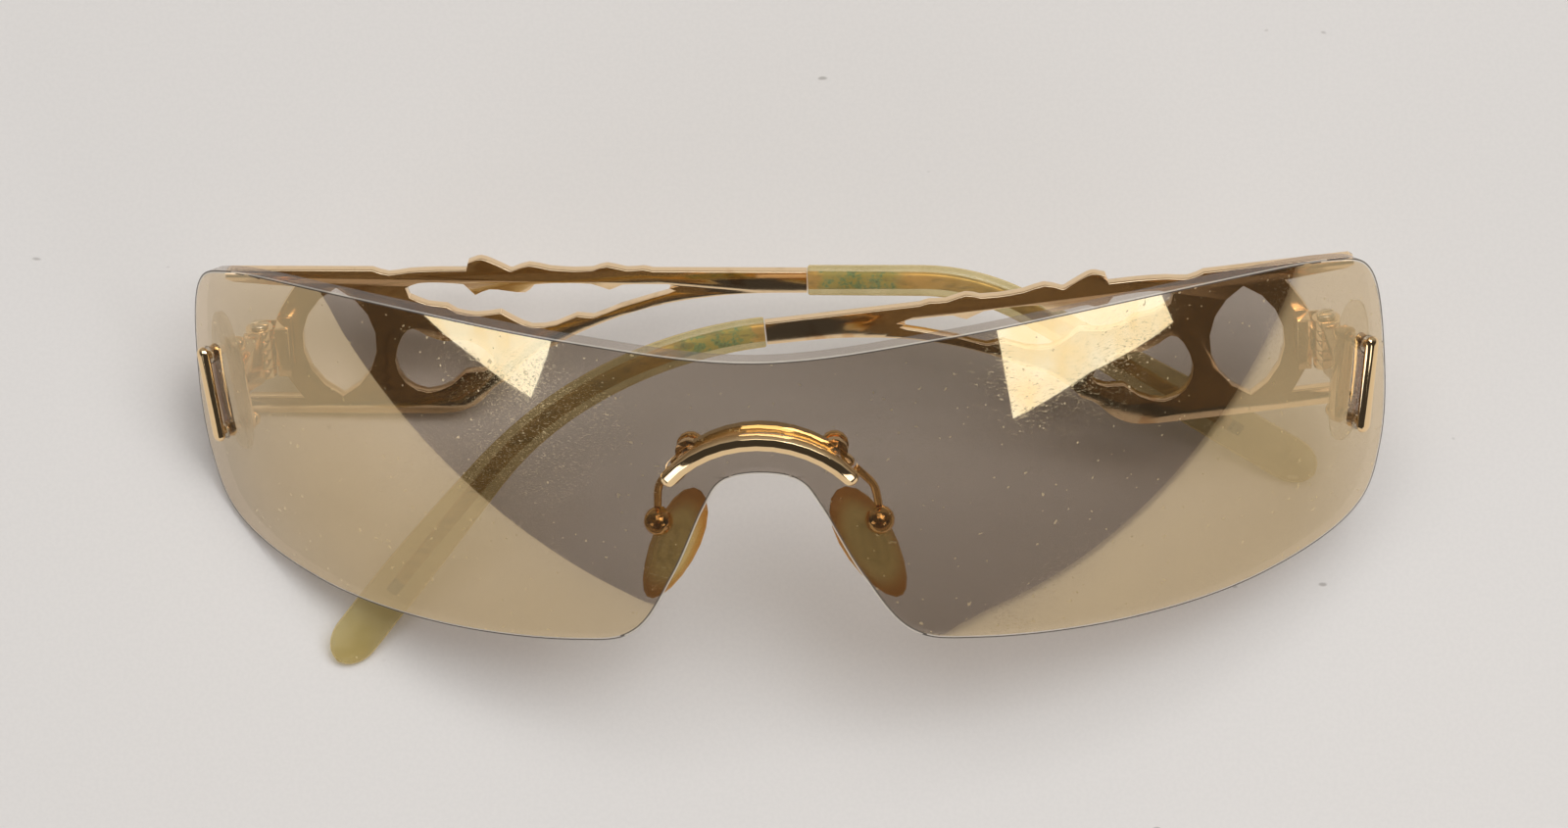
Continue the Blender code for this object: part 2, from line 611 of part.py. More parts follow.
def make_end_piece(name, side):
    frame = lens_frame(side * MOUNT_ACROSS, MOUNT_HEIGHT, STRAP_DEPTH, side * MOUNT_LEAN)
    strap = slab([stadium(STRAP_WIDTH, MOUNT_BAR_LENGTH)], STRAP_THICKNESS)
    strap.transform(frame)
    upright = lens_frame(side * MOUNT_ACROSS, HINGE_PIVOT.z, STRAP_DEPTH)
    axis = pivot(side)
    ahead = (upright.translation - axis)
    ahead.z = 0
    distance = ahead.length
    lug_frame = Matrix.Translation(axis) @ ahead.to_track_quat("X", "Z").to_matrix().to_4x4()
    near = BARREL_RADIUS + LUG_CLEARANCE
    lug = primitive(lambda bm: bmesh.ops.create_cube(bm, size=1.0))

    def shape(bm):
        for vert in bm.verts:
            at_root = vert.co.x > 0
            height = LUG_ROOT_HEIGHT if at_root else STACK_HEIGHT
            width = 0.8 * LUG_WIDTH if at_root else LUG_WIDTH
            drop = LUG_ROOT_DROP if at_root else 0.0
            vert.co = Vector((distance if at_root else near, vert.co.y * width, vert.co.z * height - drop))

    lug = edited(lug, shape)
    lug.transform(lug_frame)
    piece = combined(strap, lug)
    for level in leaf_levels(of_temple=False):
        centre = axis + Vector((0, 0, level))
        rise = Vector((0, 0, LEAF_THICKNESS / 2))
        leaf = combined(cylinder(BARREL_RADIUS, centre - rise, centre + rise, segments=18),
                        box((0, -0.42 * LUG_WIDTH, level - 0.98 * rise.z),
                            (near + 0.6 * MM, 0.42 * LUG_WIDTH, level + 0.98 * rise.z), lug_frame))
        piece = combined(piece, leaf)
    piece = cut(piece, screw_bore(axis))
    for level in (-1, 1):
        through = [stud_frame(side, level, STRAP_DEPTH + half * STRAP_THICKNESS).translation
                   for half in (-1, 1)]
        piece = cut(piece, cylinder(MOUNT_STUD_RADIUS + BORE_GAP, *through, segments=12))
    add_part("end_piece_" + name, piece, "gold", FRONT)


def screw_bore(axis):
    far = Vector((0, 0, STACK_HEIGHT))
    return cylinder(SCREW_RADIUS + BORE_GAP, axis - far, axis + far, segments=12)


def make_hinge_screw(name, side):
    top = STACK_HEIGHT / 2 + BORE_GAP
    head = top + SCREW_HEAD_HEIGHT
    tail = -STACK_HEIGHT / 2 - 0.5 * MM
    profile = [(0.0, tail), (0.7 * SCREW_RADIUS, tail), (SCREW_RADIUS, tail + 0.25 * MM),
               (SCREW_RADIUS, top), (SCREW_HEAD_RADIUS, top), (SCREW_HEAD_RADIUS, head - 0.2 * MM),
               (0.75 * SCREW_HEAD_RADIUS, head), (0.0, head)]
    screw = turned(profile, Matrix())
    slot = box((-2 * SCREW_HEAD_RADIUS, -SCREW_SLOT / 2, head - 0.5 * SCREW_HEAD_HEIGHT),
               (2 * SCREW_HEAD_RADIUS, SCREW_SLOT / 2, head + SCREW_HEAD_HEIGHT))
    screw = cut(screw, slot)
    screw.transform(Matrix.Translation(pivot(side)) @ Matrix.Rotation(0.5, 4, "Z"))
    add_part("hinge_screw_" + name, screw, "steel", FRONT)


# Temples, drawn for the right side: X along the temple, Y to its outer side, Z up, the pivot as origin

def pointed_oval(x, z, width, height, count=9):
    """A window of two arcs that meet in points above and below."""
    radius = (height ** 2 + width ** 2) / (4 * width)
    reach = math.asin(height / 2 / radius)
    arc = [(x + radius * math.cos(turn) - (radius - width / 2), z + radius * math.sin(turn))
           for turn in (reach * (2 * i / count - 1) for i in range(count + 1))]
    return arc + [(2 * x - px, pz) for px, pz in reversed(arc[1:-1])]


def plate_outline():
    """The plate's edge: horns round the hinge, a waved brow, a tapered end and a rising scroll below."""
    top, bottom = PLATE_HALF_HEIGHT, -PLATE_HALF_HEIGHT
    low = top - PLATE_END_HEIGHT
    inner = top - ARM_WIDTH

    def at(*points):
        return [(x * PLATE_UNIT, z) for x, z in points]

    def down(*points):
        return [(x * PLATE_UNIT, low - z * PLATE_UNIT) for x, z in points]

    def over(*points):
        return [(x * PLATE_UNIT, top + z * PLATE_UNIT) for x, z in points]

    brow = smooth(over((14.0, 0), (16.0, -0.6), (18.6, -0.2), (22.4, 0), (25.6, 0)), steps=2)
    brow += smooth(over((25.9, 1.1), (27.5, 1.6), (29.3, 0.9), (31.0, 0)), steps=3)
    brow += smooth(over((31.3, 0), (33.4, 0.75), (36.0, 0.2), (39.0, 0)), steps=2)
    brow += smooth(over((41.2, 0.1), (43.0, 0.65), (45.4, 0.1), (47.4, 0.25), (48.6, 0)), steps=2)
    neck = smooth([(PLATE_LENGTH, low)] + down((61, 0.1), (55.5, 0.6), (50, 1.6), (44.5, 3.3), (39.5, 5.5),
                                               (35.8, 7.6)), steps=3)
    scroll = smooth(down((35.8, 7.6), (33.6, 8.6), (31.4, 10.6), (30.2, 12.2)), steps=3)
    curl = smooth(down((30.2, 12.2), (28.4, 13.2), (26.6, 15.2), (24.2, 16.6), (21.2, 17.0)), steps=3)
    lower_horn = at((-2.2, bottom), (-2.9, bottom + 0.6 * PLATE_UNIT), (-2.9, bottom + 1.4 * PLATE_UNIT),
                    (-2.2, -inner))
    saddle = smooth(at((4.4, -inner), (2.7, -5.0 * PLATE_UNIT), (1.4, -2.4 * PLATE_UNIT), (1.1, 0),
                       (1.4, 2.4 * PLATE_UNIT), (2.6, 5.0 * PLATE_UNIT), (4.3, inner)), steps=3)
    upper_horn = at((-3.2, inner + 0.6 * PLATE_UNIT), (-4.2, inner + 1.0 * PLATE_UNIT),
                    (-4.2, top - 0.4 * PLATE_UNIT), (-3.7, top))
    line = [tuple(point) for point in brow]
    line += [(PLATE_LENGTH, top)]
    for part in (neck, scroll[1:], curl[1:]):
        line += [tuple(point) for point in part]
    line += lower_horn + [tuple(point) for point in saddle] + upper_horn
    return line


def plate_windows():
    """A pointed oval by the hinge, a comma below, and a long gap with lobes hanging into it."""
    low = PLATE_HALF_HEIGHT - PLATE_END_HEIGHT

    def under(*points):
        return [(x * PLATE_UNIT, low - z * PLATE_UNIT) for x, z in points]

    ceiling = smooth(under((18.0, -0.4), (19.6, -1.1), (22.4, -1.2), (25.2, -1.0)), steps=2)
    ceiling += smooth(under((26.6, 0.5), (28.4, -0.3), (30.6, -0.1), (32.8, 0.1), (34.0, -1.0)), steps=2)
    ceiling += smooth(under((36.5, -1.2), (41.0, -1.1), (43.2, -0.3), (44.8, -1.0), (48.0, -1.1), (50.4, -1.1)),
                      steps=2)
    hook = under((51.6, -0.8), (50.6, -0.5), (51.3, -0.2), (50.4, 0.2))
    floor = smooth(under((48.4, 0.8), (44.5, 2.1), (41.0, 3.6), (39.0, 3.4), (36.4, 4.6), (33.4, 5.0),
                         (31.2, 4.0)), steps=2)
    floor += smooth(under((29.6, 3.0), (26.6, 3.4), (24.2, 3.0), (23.0, 2.2), (20.6, 1.9), (18.4, 0.9)), steps=2)
    gap = [tuple(point) for point in ceiling] + hook + [tuple(point) for point in floor]
    comma = smooth([(x * PLATE_UNIT, z * PLATE_UNIT) for x, z in
                    ((16.2, -2.6), (17.2, 0.8), (18.6, 1.9), (20.2, 1.0), (22.4, 0.2), (25.2, 0.3), (27.4, -0.9),
                     (28.6, -2.8), (27.0, -4.0), (24.8, -4.2), (23.0, -5.9), (20.0, -7.0), (17.3, -5.6))],
                   steps=2, closed=True)
    return [pointed_oval(9.4 * PLATE_UNIT, 0.0, 9.2 * PLATE_UNIT, 15.0 * PLATE_UNIT, count=7), gap,
            [tuple(point) for point in comma]]


def tip_point(temple, along):
    """The tip's centre line and its slope, at a distance along it from the plate's end."""
    start = Vector((PLATE_LENGTH + SEAT_GAP, PLATE_OFFSET, PLATE_HALF_HEIGHT - PLATE_END_HEIGHT / 2))
    straight, radius, bend = temple["straight"], temple["radius"], temple["bend"]
    slope = min(max(along - straight, 0.0) / radius, bend)
    after = max(along - straight - radius * bend, 0.0)
    x = min(along, straight) + radius * math.sin(slope) + after * math.cos(bend)
    z = -radius * (1 - math.cos(slope)) - after * math.sin(bend)
    reach = max(along - INSET_START, 0.0) / (TIP_LENGTH - INSET_START)
    return start + Vector((x, -temple["inset"] * reach ** 2, z)), slope


def section(centre, slope, height, thickness, sides, power):
    """A rounded rectangle square to the centre line."""
    up = Vector((math.sin(slope), 0, math.cos(slope)))
    out = Vector((0, 1, 0))
    ring = []
    for i in range(sides):
        c, s = math.cos(2 * math.pi * i / sides), math.sin(2 * math.pi * i / sides)
        ring.append(centre + up * (height / 2 * math.copysign(abs(c) ** (2 / power), c))
                    + out * (thickness / 2 * math.copysign(abs(s) ** (2 / power), s)))
    return ring


def loft(rings):
    """A closed body through rings of equal count, with a flat face on each end."""
    bm = bmesh.new()
    loops = [[bm.verts.new(point) for point in ring] for ring in rings]
    count = len(loops[0])
    for low, high in zip(loops, loops[1:]):
        for i in range(count):
            j = (i + 1) % count
            bm.faces.new((low[i], low[j], high[j], high[i]))
    bm.faces.new(loops[0])
    bm.faces.new(loops[-1])
    bmesh.ops.recalc_face_normals(bm, faces=bm.faces)
    mesh = bpy.data.meshes.new("loft")
    bm.to_mesh(mesh)
    bm.free()
    return mesh


def tip_size(along):
    """The tip's height and thickness: slim at the plate, a paddle at the end, closed by a round nose."""
    middle = 0.42 * TIP_LENGTH
    paddle = 0.84 * TIP_LENGTH
    if along < middle:
        height = TIP_START_HEIGHT + (TIP_MIDDLE_HEIGHT - TIP_START_HEIGHT) * along / middle
    else:
        reach = min((along - middle) / (paddle - middle), 1.0)
        height = TIP_MIDDLE_HEIGHT + (TIP_END_HEIGHT - TIP_MIDDLE_HEIGHT) * reach * reach * (3 - 2 * reach)
    thickness = TIP_START_THICKNESS + (TIP_END_THICKNESS - TIP_START_THICKNESS) * along / TIP_LENGTH
    nose = max(along - (TIP_LENGTH - 0.62 * TIP_END_HEIGHT), 0.0) / (0.62 * TIP_END_HEIGHT)
    fall = math.sqrt(max(1 - nose ** 2, 0.0))
    return height * max(fall, 0.16), thickness * max(fall, 0.3) ** 0.6


def make_tip(temple):
    steps = [TIP_LENGTH * i / TIP_RINGS for i in range(TIP_RINGS)]
    steps += [TIP_LENGTH * share for share in (0.985, 0.995, 1.0)]
    rings = []
    for along in steps:
        centre, slope = tip_point(temple, along)
        rings.append(section(centre, slope, *tip_size(along), TIP_SIDES, 2.6))
    return cut(loft(rings), make_core(temple, BORE_GAP, -1.0 * MM))


def make_core(temple, grow=0.0, start=0.0):
    """The flat wire inside the tip, or the bore for it when grown by a gap."""
    rings = []
    for i in range(CORE_RINGS + 1):
        along = start + (CORE_LENGTH + grow - start) * i / CORE_RINGS
        centre, slope = tip_point(temple, max(along, 0.0))
        centre.x += min(along, 0.0)
        rings.append(section(centre, slope, CORE_HEIGHT + 2 * grow, CORE_THICKNESS + 2 * grow,
                             CORE_SIDES, 3.5))
    return loft(rings)


def make_hinge_block():
    """The temple's half of the hinge: two leaves on a block that is soldered to the plate."""
    seat = PLATE_OFFSET - PLATE_THICKNESS / 2 - SEAT_GAP
    near = BARREL_RADIUS + LUG_CLEARANCE
    half = STACK_HEIGHT / 2
    far = near + HINGE_BLOCK_LENGTH
    block = box((near, -0.8 * MM, -half), (far, seat - 0.15 * MM, half))
    block = combined(block, box((0.3 * MM, near, -0.97 * half), (far - 0.1 * MM, seat, 0.97 * half)))
    for level in leaf_levels(of_temple=True):
        centre, rise = Vector((0, 0, level)), Vector((0, 0, LEAF_THICKNESS / 2))
        block = combined(block, cylinder(BARREL_RADIUS, centre - rise, centre + rise, segments=18))
        block = combined(block, box((0.1 * MM, -0.5 * MM, level - 0.98 * rise.z),
                                    (near + 0.5 * MM, near + 0.1 * MM, level + 0.98 * rise.z)))
    return cut(block, screw_bore(Vector()))


def make_temple(name, temple):
    side = temple["side"]
    fold = add_empty(name + "_fold", FRONT, Matrix.Translation(pivot(side))
                     @ Matrix.Rotation(-side * temple["rest"], 4, "Z"))
    droop = Matrix.Rotation(temple["droop"], 4, "Y")
    plate = slab([plate_outline()] + plate_windows(), PLATE_THICKNESS)
    plate.transform(Matrix.Translation((0, PLATE_OFFSET, 0)))
    pieces = {"temple_plate_": (plate, "gold_worn", droop),
              "temple_tip_": (make_tip(temple), "acetate", droop),
              "tip_core_": (make_core(temple), "steel", droop),
              "temple_hinge_": (make_hinge_block(), "gold", Matrix())}
    mirror = Matrix.Diagonal((-side, 1, 1, 1))
    for kind, (mesh, material, turn) in pieces.items():
        mesh.transform(mirror @ turn)
        add_part(kind + name, edited(mesh, lambda bm: None), material, fold)
    make_hinge_screw(name, side)


# The table that the folded glasses lie on

def world_points(names):
    graph = bpy.context.evaluated_depsgraph_get()
    points = []
    for name in names:
        part = bpy.data.objects[name].evaluated_get(graph)
        points.append([part.matrix_world @ vert.co for vert in part.to_mesh().vertices])
        part.to_mesh_clear()
    return points


def lay_on_table(supports):
    """Turn the whole so that the lowest points of the three supports lie in the plane Z = 0."""
    normal = Vector((0, -0.6, 0.8))
    clouds = world_points(supports)
    for _ in range(12):
        a, b, c = [min(cloud, key=normal.dot) for cloud in clouds]
        normal = (b - a).cross(c - a).normalized()
        if normal.z < 0:
            normal.negate()
    level = Vector((1, 0, 0))
    level = (level - normal * level.dot(normal)).normalized()
    turn = Matrix((level, normal.cross(level), normal)).to_4x4()
    solids = [part.name for part in PART.objects if part.type == "MESH"]
    points = [turn @ point for cloud in world_points(solids) for point in cloud]
    low = Vector([min(point[i] for point in points) for i in range(3)])
    high = Vector([max(point[i] for point in points) for i in range(3)])
    middle = (low + high) / 2
    FRONT.matrix_world = Matrix.Translation((-middle.x, -middle.y, -low.z)) @ turn


clear_scene()
PART = make_collection("sunglasses")
STOCK = make_materials()
FRONT = add_empty("resting_pose", None)
make_lens()
make_bridge()
for pad_name, pad_side in (("right", -1), ("left", 1)):
    make_pad(pad_name, pad_side)
    make_mount(pad_name, pad_side)
for temple_name, temple_values in TEMPLES.items():
    make_temple(temple_name, temple_values)
bpy.context.view_layer.update()
lay_on_table(("temple_tip_left", "temple_tip_right", "temple_plate_right"))
bpy.context.view_layer.update()
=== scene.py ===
# %% [markdown]
# # A pair of folded shield sunglasses
#
# One curved lens, tinted and thinly mirrored, carries everything: a gold bridge with two nose
# pads, and at each end a gold mount, a five-leaf hinge and a pierced metal temple with a
# translucent tip. The CAD model gives the sizes. This lesson dresses it: finer surfaces first,
# then finishes made of nodes, then a soft studio.

import json
import math

import bmesh
import bpy
from mathutils import Matrix, Vector

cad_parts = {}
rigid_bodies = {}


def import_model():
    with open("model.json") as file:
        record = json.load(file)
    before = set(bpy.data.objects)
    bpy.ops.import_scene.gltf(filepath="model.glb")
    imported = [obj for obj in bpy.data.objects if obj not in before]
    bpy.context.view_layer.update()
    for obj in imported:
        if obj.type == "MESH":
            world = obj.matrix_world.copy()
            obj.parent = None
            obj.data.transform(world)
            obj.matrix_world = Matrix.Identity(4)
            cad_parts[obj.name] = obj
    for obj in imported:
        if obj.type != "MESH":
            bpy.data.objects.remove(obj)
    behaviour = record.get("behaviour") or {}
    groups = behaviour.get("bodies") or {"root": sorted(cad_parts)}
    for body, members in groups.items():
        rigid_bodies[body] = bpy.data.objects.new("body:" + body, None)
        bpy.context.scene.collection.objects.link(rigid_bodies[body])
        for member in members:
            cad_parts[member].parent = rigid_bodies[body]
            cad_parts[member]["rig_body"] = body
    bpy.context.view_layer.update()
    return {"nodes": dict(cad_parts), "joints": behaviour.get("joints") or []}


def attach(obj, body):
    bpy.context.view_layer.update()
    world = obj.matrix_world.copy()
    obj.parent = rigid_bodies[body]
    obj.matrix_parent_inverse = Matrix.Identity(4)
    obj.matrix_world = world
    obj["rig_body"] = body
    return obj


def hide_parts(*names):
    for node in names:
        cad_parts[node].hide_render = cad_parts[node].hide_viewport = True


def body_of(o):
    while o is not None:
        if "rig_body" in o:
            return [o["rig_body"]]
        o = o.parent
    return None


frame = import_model()
MM = 0.001
body_of_node = {name: body_of(node)[0] for name, node in frame["nodes"].items()}

# %% [markdown]
# ## The glasses' own frame
#
# The glasses lie folded and tilted on a table, but their shapes are simplest as worn: X to the
# wearer's left, Y back and Z up. The two hinge axes give that frame back. They are parallel to
# Z, and the line from one hinge to the other is X.

# %% The frame as worn
joints = {joint["name"]: joint for joint in frame["joints"]}
right_pivot = Vector(joints["right_fold"]["pos_m"])
left_pivot = Vector(joints["left_fold"]["pos_m"])
PIVOT_BACK = 38.868 * MM
PIVOT_DROP = 11.35 * MM

across = (left_pivot - right_pivot).normalized()
upward = Vector(joints["right_fold"]["axis"]).normalized()
upward = (upward - across * upward.dot(across)).normalized()
backward = upward.cross(across)
worn_origin = (left_pivot + right_pivot) / 2 - backward * PIVOT_BACK + upward * PIVOT_DROP
WORN = Matrix.Translation(worn_origin) @ Matrix((across, backward, upward)).transposed().to_4x4()
print("lens lean from upright:", round(math.degrees(upward.angle(Vector((0, 0, 1)))), 1), "degrees")

# %% [markdown]
# ## The camera
#
# A long lens from above the brow, as in the photograph. Its direction is set by an azimuth and an
# elevation in the worn frame, and a small roll.

# %% Camera
CAMERA_AZIMUTH = math.radians(6.668)
CAMERA_ELEVATION = math.radians(28.0)
CAMERA_ROLL = math.radians(-3.623)
CAMERA_DISTANCE = 0.8
CAMERA_LENS = 157.5
CAMERA_AIM = 3.273 * MM


def direction(azimuth, elevation):
    """A unit vector from the front: azimuth to the right of the view, elevation above it."""
    return Vector((math.sin(azimuth) * math.cos(elevation), -math.cos(azimuth) * math.cos(elevation),
                   math.sin(elevation)))


to_camera = direction(CAMERA_AZIMUTH, CAMERA_ELEVATION)
level_right = Vector((math.cos(CAMERA_AZIMUTH), math.sin(CAMERA_AZIMUTH), 0.0))
level_up = to_camera.cross(level_right)
view_right = level_right * math.cos(CAMERA_ROLL) + level_up * math.sin(CAMERA_ROLL)
view_up = level_up * math.cos(CAMERA_ROLL) - level_right * math.sin(CAMERA_ROLL)
turn = Matrix((view_right, view_up, to_camera)).transposed().to_4x4()
camera = bpy.data.objects.new("camera", bpy.data.cameras.new("camera"))
bpy.context.scene.collection.objects.link(camera)
camera.data.lens = CAMERA_LENS
camera.data.sensor_width = 36.0
camera.data.clip_start = 0.02
camera.data.clip_end = 20.0
camera.matrix_world = WORN @ Matrix.Translation(
    to_camera * CAMERA_DISTANCE + view_right * CAMERA_AIM) @ turn
bpy.context.scene.camera = camera
print("camera at", [round(c, 3) for c in camera.matrix_world.translation])

# %% [markdown]
# ## Shader maths as expressions
#
# A finish is a small sum: mix this colour with that one where a noise is high. Wrapping a socket
# in a class with operators lets each sum be read as a sum. Numbers go to Math nodes, and colours
# and vectors to Vector Math and Mix.


# %% Sockets with operators
class Term:
    """A node's output that can be added, subtracted and multiplied."""

    def __init__(self, recipe, socket):
        self.recipe = recipe
        self.socket = socket

    def joined(self, other, operation, flipped=False):
        pair = (other, self) if flipped else (self, other)
        kind = "ShaderNodeMath"
        if self.socket.type in ("RGBA", "VECTOR"):
            kind = "ShaderNodeVectorMath"
            pair = [(part,) * 3 if isinstance(part, (int, float)) else part for part in pair]
        return self.recipe.node(kind, {"operation": operation}, dict(enumerate(pair)))

    def __add__(self, other):
        return self.joined(other, "ADD")

    def __radd__(self, other):
        return self.joined(other, "ADD", True)

    def __sub__(self, other):
        return self.joined(other, "SUBTRACT")

    def __rsub__(self, other):
        return self.joined(other, "SUBTRACT", True)

    def __mul__(self, other):
        return self.joined(other, "MULTIPLY")

    def __rmul__(self, other):
        return self.joined(other, "MULTIPLY", True)

    def output(self, name):
        """Another output of the same node."""
        return Term(self.recipe, self.socket.node.outputs[name])

    def between(self, low, high, start=0.0, end=1.0):
        """The value carried smoothly from the range low to high into start to end."""
        return self.recipe.node(
            "ShaderNodeMapRange", {"interpolation_type": "SMOOTHSTEP", "clamp": True},
            {"Value": self, "From Min": low, "From Max": high, "To Min": start, "To Max": end})


print("sockets can be added, subtracted and multiplied")

# %% [markdown]
# ## A recipe for a finish
#
# The second class holds one node tree. Its node method makes any node: settings first, then the
# values or links of its sockets. The other methods are the few sums that most finishes need.


# %% Recipe
class Finish:
    """One material, or the world, built up from nodes."""

    def __init__(self, name, owner=None):
        self.owner = owner or bpy.data.materials.new(name)
        self.owner.use_nodes = True
        self.tree = self.owner.node_tree
        self.tree.nodes.clear()

    def node(self, kind, settings=None, values=None):
        """Any node: its settings first, then its sockets' values or links."""
        made = self.tree.nodes.new(kind)
        for key, value in (settings or {}).items():
            setattr(made, key, value)
        for key, value in (values or {}).items():
            socket = made.inputs[key]
            if isinstance(value, Term):
                self.tree.links.new(value.socket, socket)
            elif socket.type == "RGBA" and len(value) == 3:
                socket.default_value = (*value, 1.0)
            else:
                socket.default_value = value
        shown = [socket for socket in made.outputs if socket.enabled]
        return Term(self, shown[0]) if shown else None

    def place(self, scale=(1, 1, 1), turn=(0, 0, 0)):
        """The object's own coordinates, stretched and turned for a pattern."""
        here = self.node("ShaderNodeTexCoord").output("Object")
        return self.node("ShaderNodeMapping", None, {"Vector": here, "Scale": scale, "Rotation": turn})

    def noise(self, vector, scale, detail=3.0, roughness=0.5, distortion=0.0):
        """Soft random patches from 0 to 1. At a scale of 1000 they are about 1 mm wide."""
        return self.node("ShaderNodeTexNoise", None, {"Vector": vector, "Scale": scale, "Detail": detail,
                                                      "Roughness": roughness, "Distortion": distortion})

    def blend(self, mask, first, second):
        """A colour: first where the mask is 0, second where it is 1."""
        mixer = self.tree.nodes.new("ShaderNodeMix")
        mixer.data_type = "RGBA"
        sockets = (mixer.inputs[0], mixer.inputs[6], mixer.inputs[7])
        for socket, value in zip(sockets, (mask, first, second)):
            if isinstance(value, Term):
                self.tree.links.new(value.socket, socket)
            elif isinstance(value, (int, float)):
                socket.default_value = value
            else:
                socket.default_value = (*value, 1.0)
        return Term(self, mixer.outputs[2])

    def facing(self, blend=0.5):
        """0 where the surface faces the eye, 1 where it turns away."""
        return self.node("ShaderNodeLayerWeight", None, {"Blend": blend}).output("Facing")

    def grazing(self, head_on=0.04):
        """How much a polished surface mirrors: little head on, all of it at a grazing angle."""
        fifth = self.node("ShaderNodeMath", {"operation": "POWER"}, {0: self.facing(), 1: 5.0})
        return head_on + fifth * (1.0 - head_on)

    def bump(self, height, distance, strength=1.0):
        """A relief drawn on the surface, with its depth in metres."""
        return self.node("ShaderNodeBump", None,
                         {"Height": height, "Distance": distance, "Strength": strength})

    def film(self, colour):
        """A clear sheet of one colour."""
        return self.node("ShaderNodeBsdfTransparent", None, {"Color": colour})

    def solid(self, values):
        """A metal, or a plastic that lets no light through."""
        return self.node("ShaderNodeBsdfPrincipled", None, values)

    def mixed(self, share, first, second):
        """Two shaders in one: the second by its share, the first by the rest."""
        return self.node("ShaderNodeMixShader", None, {0: share, 1: first, 2: second})

    def tinted(self, share, layers):
        """A film and a colour from the same layers of tint, each laid over the last by its mask."""
        film = colour = None
        for mask, tint in layers:
            sheet = self.film([1 - share * (1 - part) for part in tint])
            if mask is None:
                film, colour = sheet, tint
            else:
                film = self.mixed(mask, film, sheet)
                colour = self.blend(mask, colour, tint)
        return film, colour

    def done(self, shader, output="ShaderNodeOutputMaterial"):
        self.node(output, None, {"Surface": shader})
        print("finish", self.owner.name, "nodes:", len(self.tree.nodes))
        return self.owner


print("a recipe can make:", ", ".join(name for name in vars(Finish) if name[0] != "_"))

# %% [markdown]
# ## Gold
#
# The bars, wires and nuts are plated. Old plating isn't even: it keeps a bright polish on the
# raised places, dulls in brown patches, and carries fine rubbing marks. Noise at three sizes gives
# those: about 6 mm for the patches, 0.6 mm for specks and 0.1 mm, drawn out, for the marks. On the
# worn pieces the rounded corners get a paler, a little rougher gold: partly real rubbing by hands,
# partly a painted highlight, so they show as light outlines.

# %% Gold finishes
TARNISH = (0.62, 0.27, 0.06)


def gold_finish(name, bright, dull, speck, gloss, wear):
    """A metal with three tones, a base roughness and a wear from 0 to 1."""
    recipe = Finish(name)
    here = recipe.place()
    patches = recipe.noise(here, 170.0, 4.0, 0.6, 0.4).between(0.66 - wear * 0.2, 0.84 - wear * 0.15)
    specks = recipe.noise(here, 1500.0, 3.0, 0.65).between(0.70 - wear * 0.06, 0.78)
    marks = recipe.noise(recipe.place((1, 9, 9), (0.3, 0.2, 0.5)), 900.0, 2.0, 0.6)
    colour = recipe.blend(patches, bright, dull)
    colour = recipe.blend(specks * (0.35 + 0.5 * wear), colour, speck)
    tarnish = recipe.noise(here, 75.0, 4.0, 0.65, 1.0).between(0.60, 0.68)
    colour = recipe.blend(tarnish * wear, colour, TARNISH)
    rough = gloss + patches * 0.10 + specks * 0.15 + (marks - 0.5) * 0.08
    relief = marks * 0.25 + recipe.noise(here, 300.0, 3.0, 0.5) - specks * 0.6
    normal = recipe.bump(relief, 0.012 * MM, 0.2 + 0.3 * wear)
    return recipe.done(recipe.solid({
        "Base Color": colour, "Metallic": 1.0, "Roughness": rough, "Normal": normal}))


gold = gold_finish("gold", (0.93, 0.68, 0.38), (0.74, 0.50, 0.24), (0.40, 0.25, 0.11), 0.07, 0.1)
gold_worn = gold_finish("gold_worn", (0.93, 0.69, 0.42), (0.70, 0.48, 0.25), (0.34, 0.22, 0.10),
                        0.11, 0.5)
# Partly real rubbing, partly a painted highlight: the paler gold for the worn pieces' corners.
gold_edge_rubbed_and_highlit = gold_finish("gold_edge_rubbed_and_highlit", (1.0, 0.78, 0.52), (0.86, 0.62, 0.36), (0.45, 0.30, 0.14),
                        0.30, 0.2)
gold_amber = gold_finish("gold_amber", (0.86, 0.52, 0.19), (0.70, 0.38, 0.12), (0.45, 0.22, 0.08),
                         0.05, 0.0)
steel = gold_finish("steel", (0.78, 0.70, 0.55), (0.55, 0.46, 0.33), (0.25, 0.2, 0.14), 0.22, 0.5)

# %% [markdown]
# ## Translucent plastics
#
# The tips, pads and gaskets let some light straight through and scatter the rest. A full glass
# would be slow and dark in its own shadow, so each is a clear film mixed with a solid shader. Near
# its outline a real one is seen through more plastic, so the solid's share grows where the surface
# turns away: Layer Weight's Facing gives that. Each film keeps one plain colour. Where the tint
# changes, plain films are mixed by the same masks as the solid's colours.


# %% Plastic finishes
PLASTIC_BLEND = 0.42
SCUFF = (0.90, 0.84, 0.66)


def plastic_finish(name, tints, film_share, solid_share, edge_share, rough, scratch):
    """A clear plastic. Its tints are a thin one, a cloudy one and one for its outline."""
    recipe = Finish(name)
    here = recipe.place()
    cloud = recipe.noise(here, 240.0, 3.0, 0.5, 1.2)
    streaks = recipe.noise(recipe.place((1, 14, 14), (0.1, 0.15, 0.35)), 700.0, 3.0, 0.7)
    scuffs = streaks.between(0.60, 0.72)
    facing = recipe.facing(PLASTIC_BLEND)
    thin, cloudy, outer = tints
    film, colour = recipe.tinted(film_share, (
        (None, thin), (cloud.between(0.35, 0.65), cloudy), (facing.between(0.30, 0.75), outer),
        (scuffs * 0.25, SCUFF)))
    normal = recipe.bump(streaks * scratch + recipe.noise(here, 90.0, 2.0), 0.05 * MM, 0.5)
    share = facing.between(0.15, 0.9, solid_share, edge_share) + scuffs * 0.08
    body = recipe.solid({
        "Base Color": colour, "Roughness": rough + scuffs * 0.2, "Normal": normal,
        "Coat Weight": 0.6, "Coat Roughness": 0.06, "IOR": 1.5})
    return recipe.done(recipe.mixed(share, film, body))


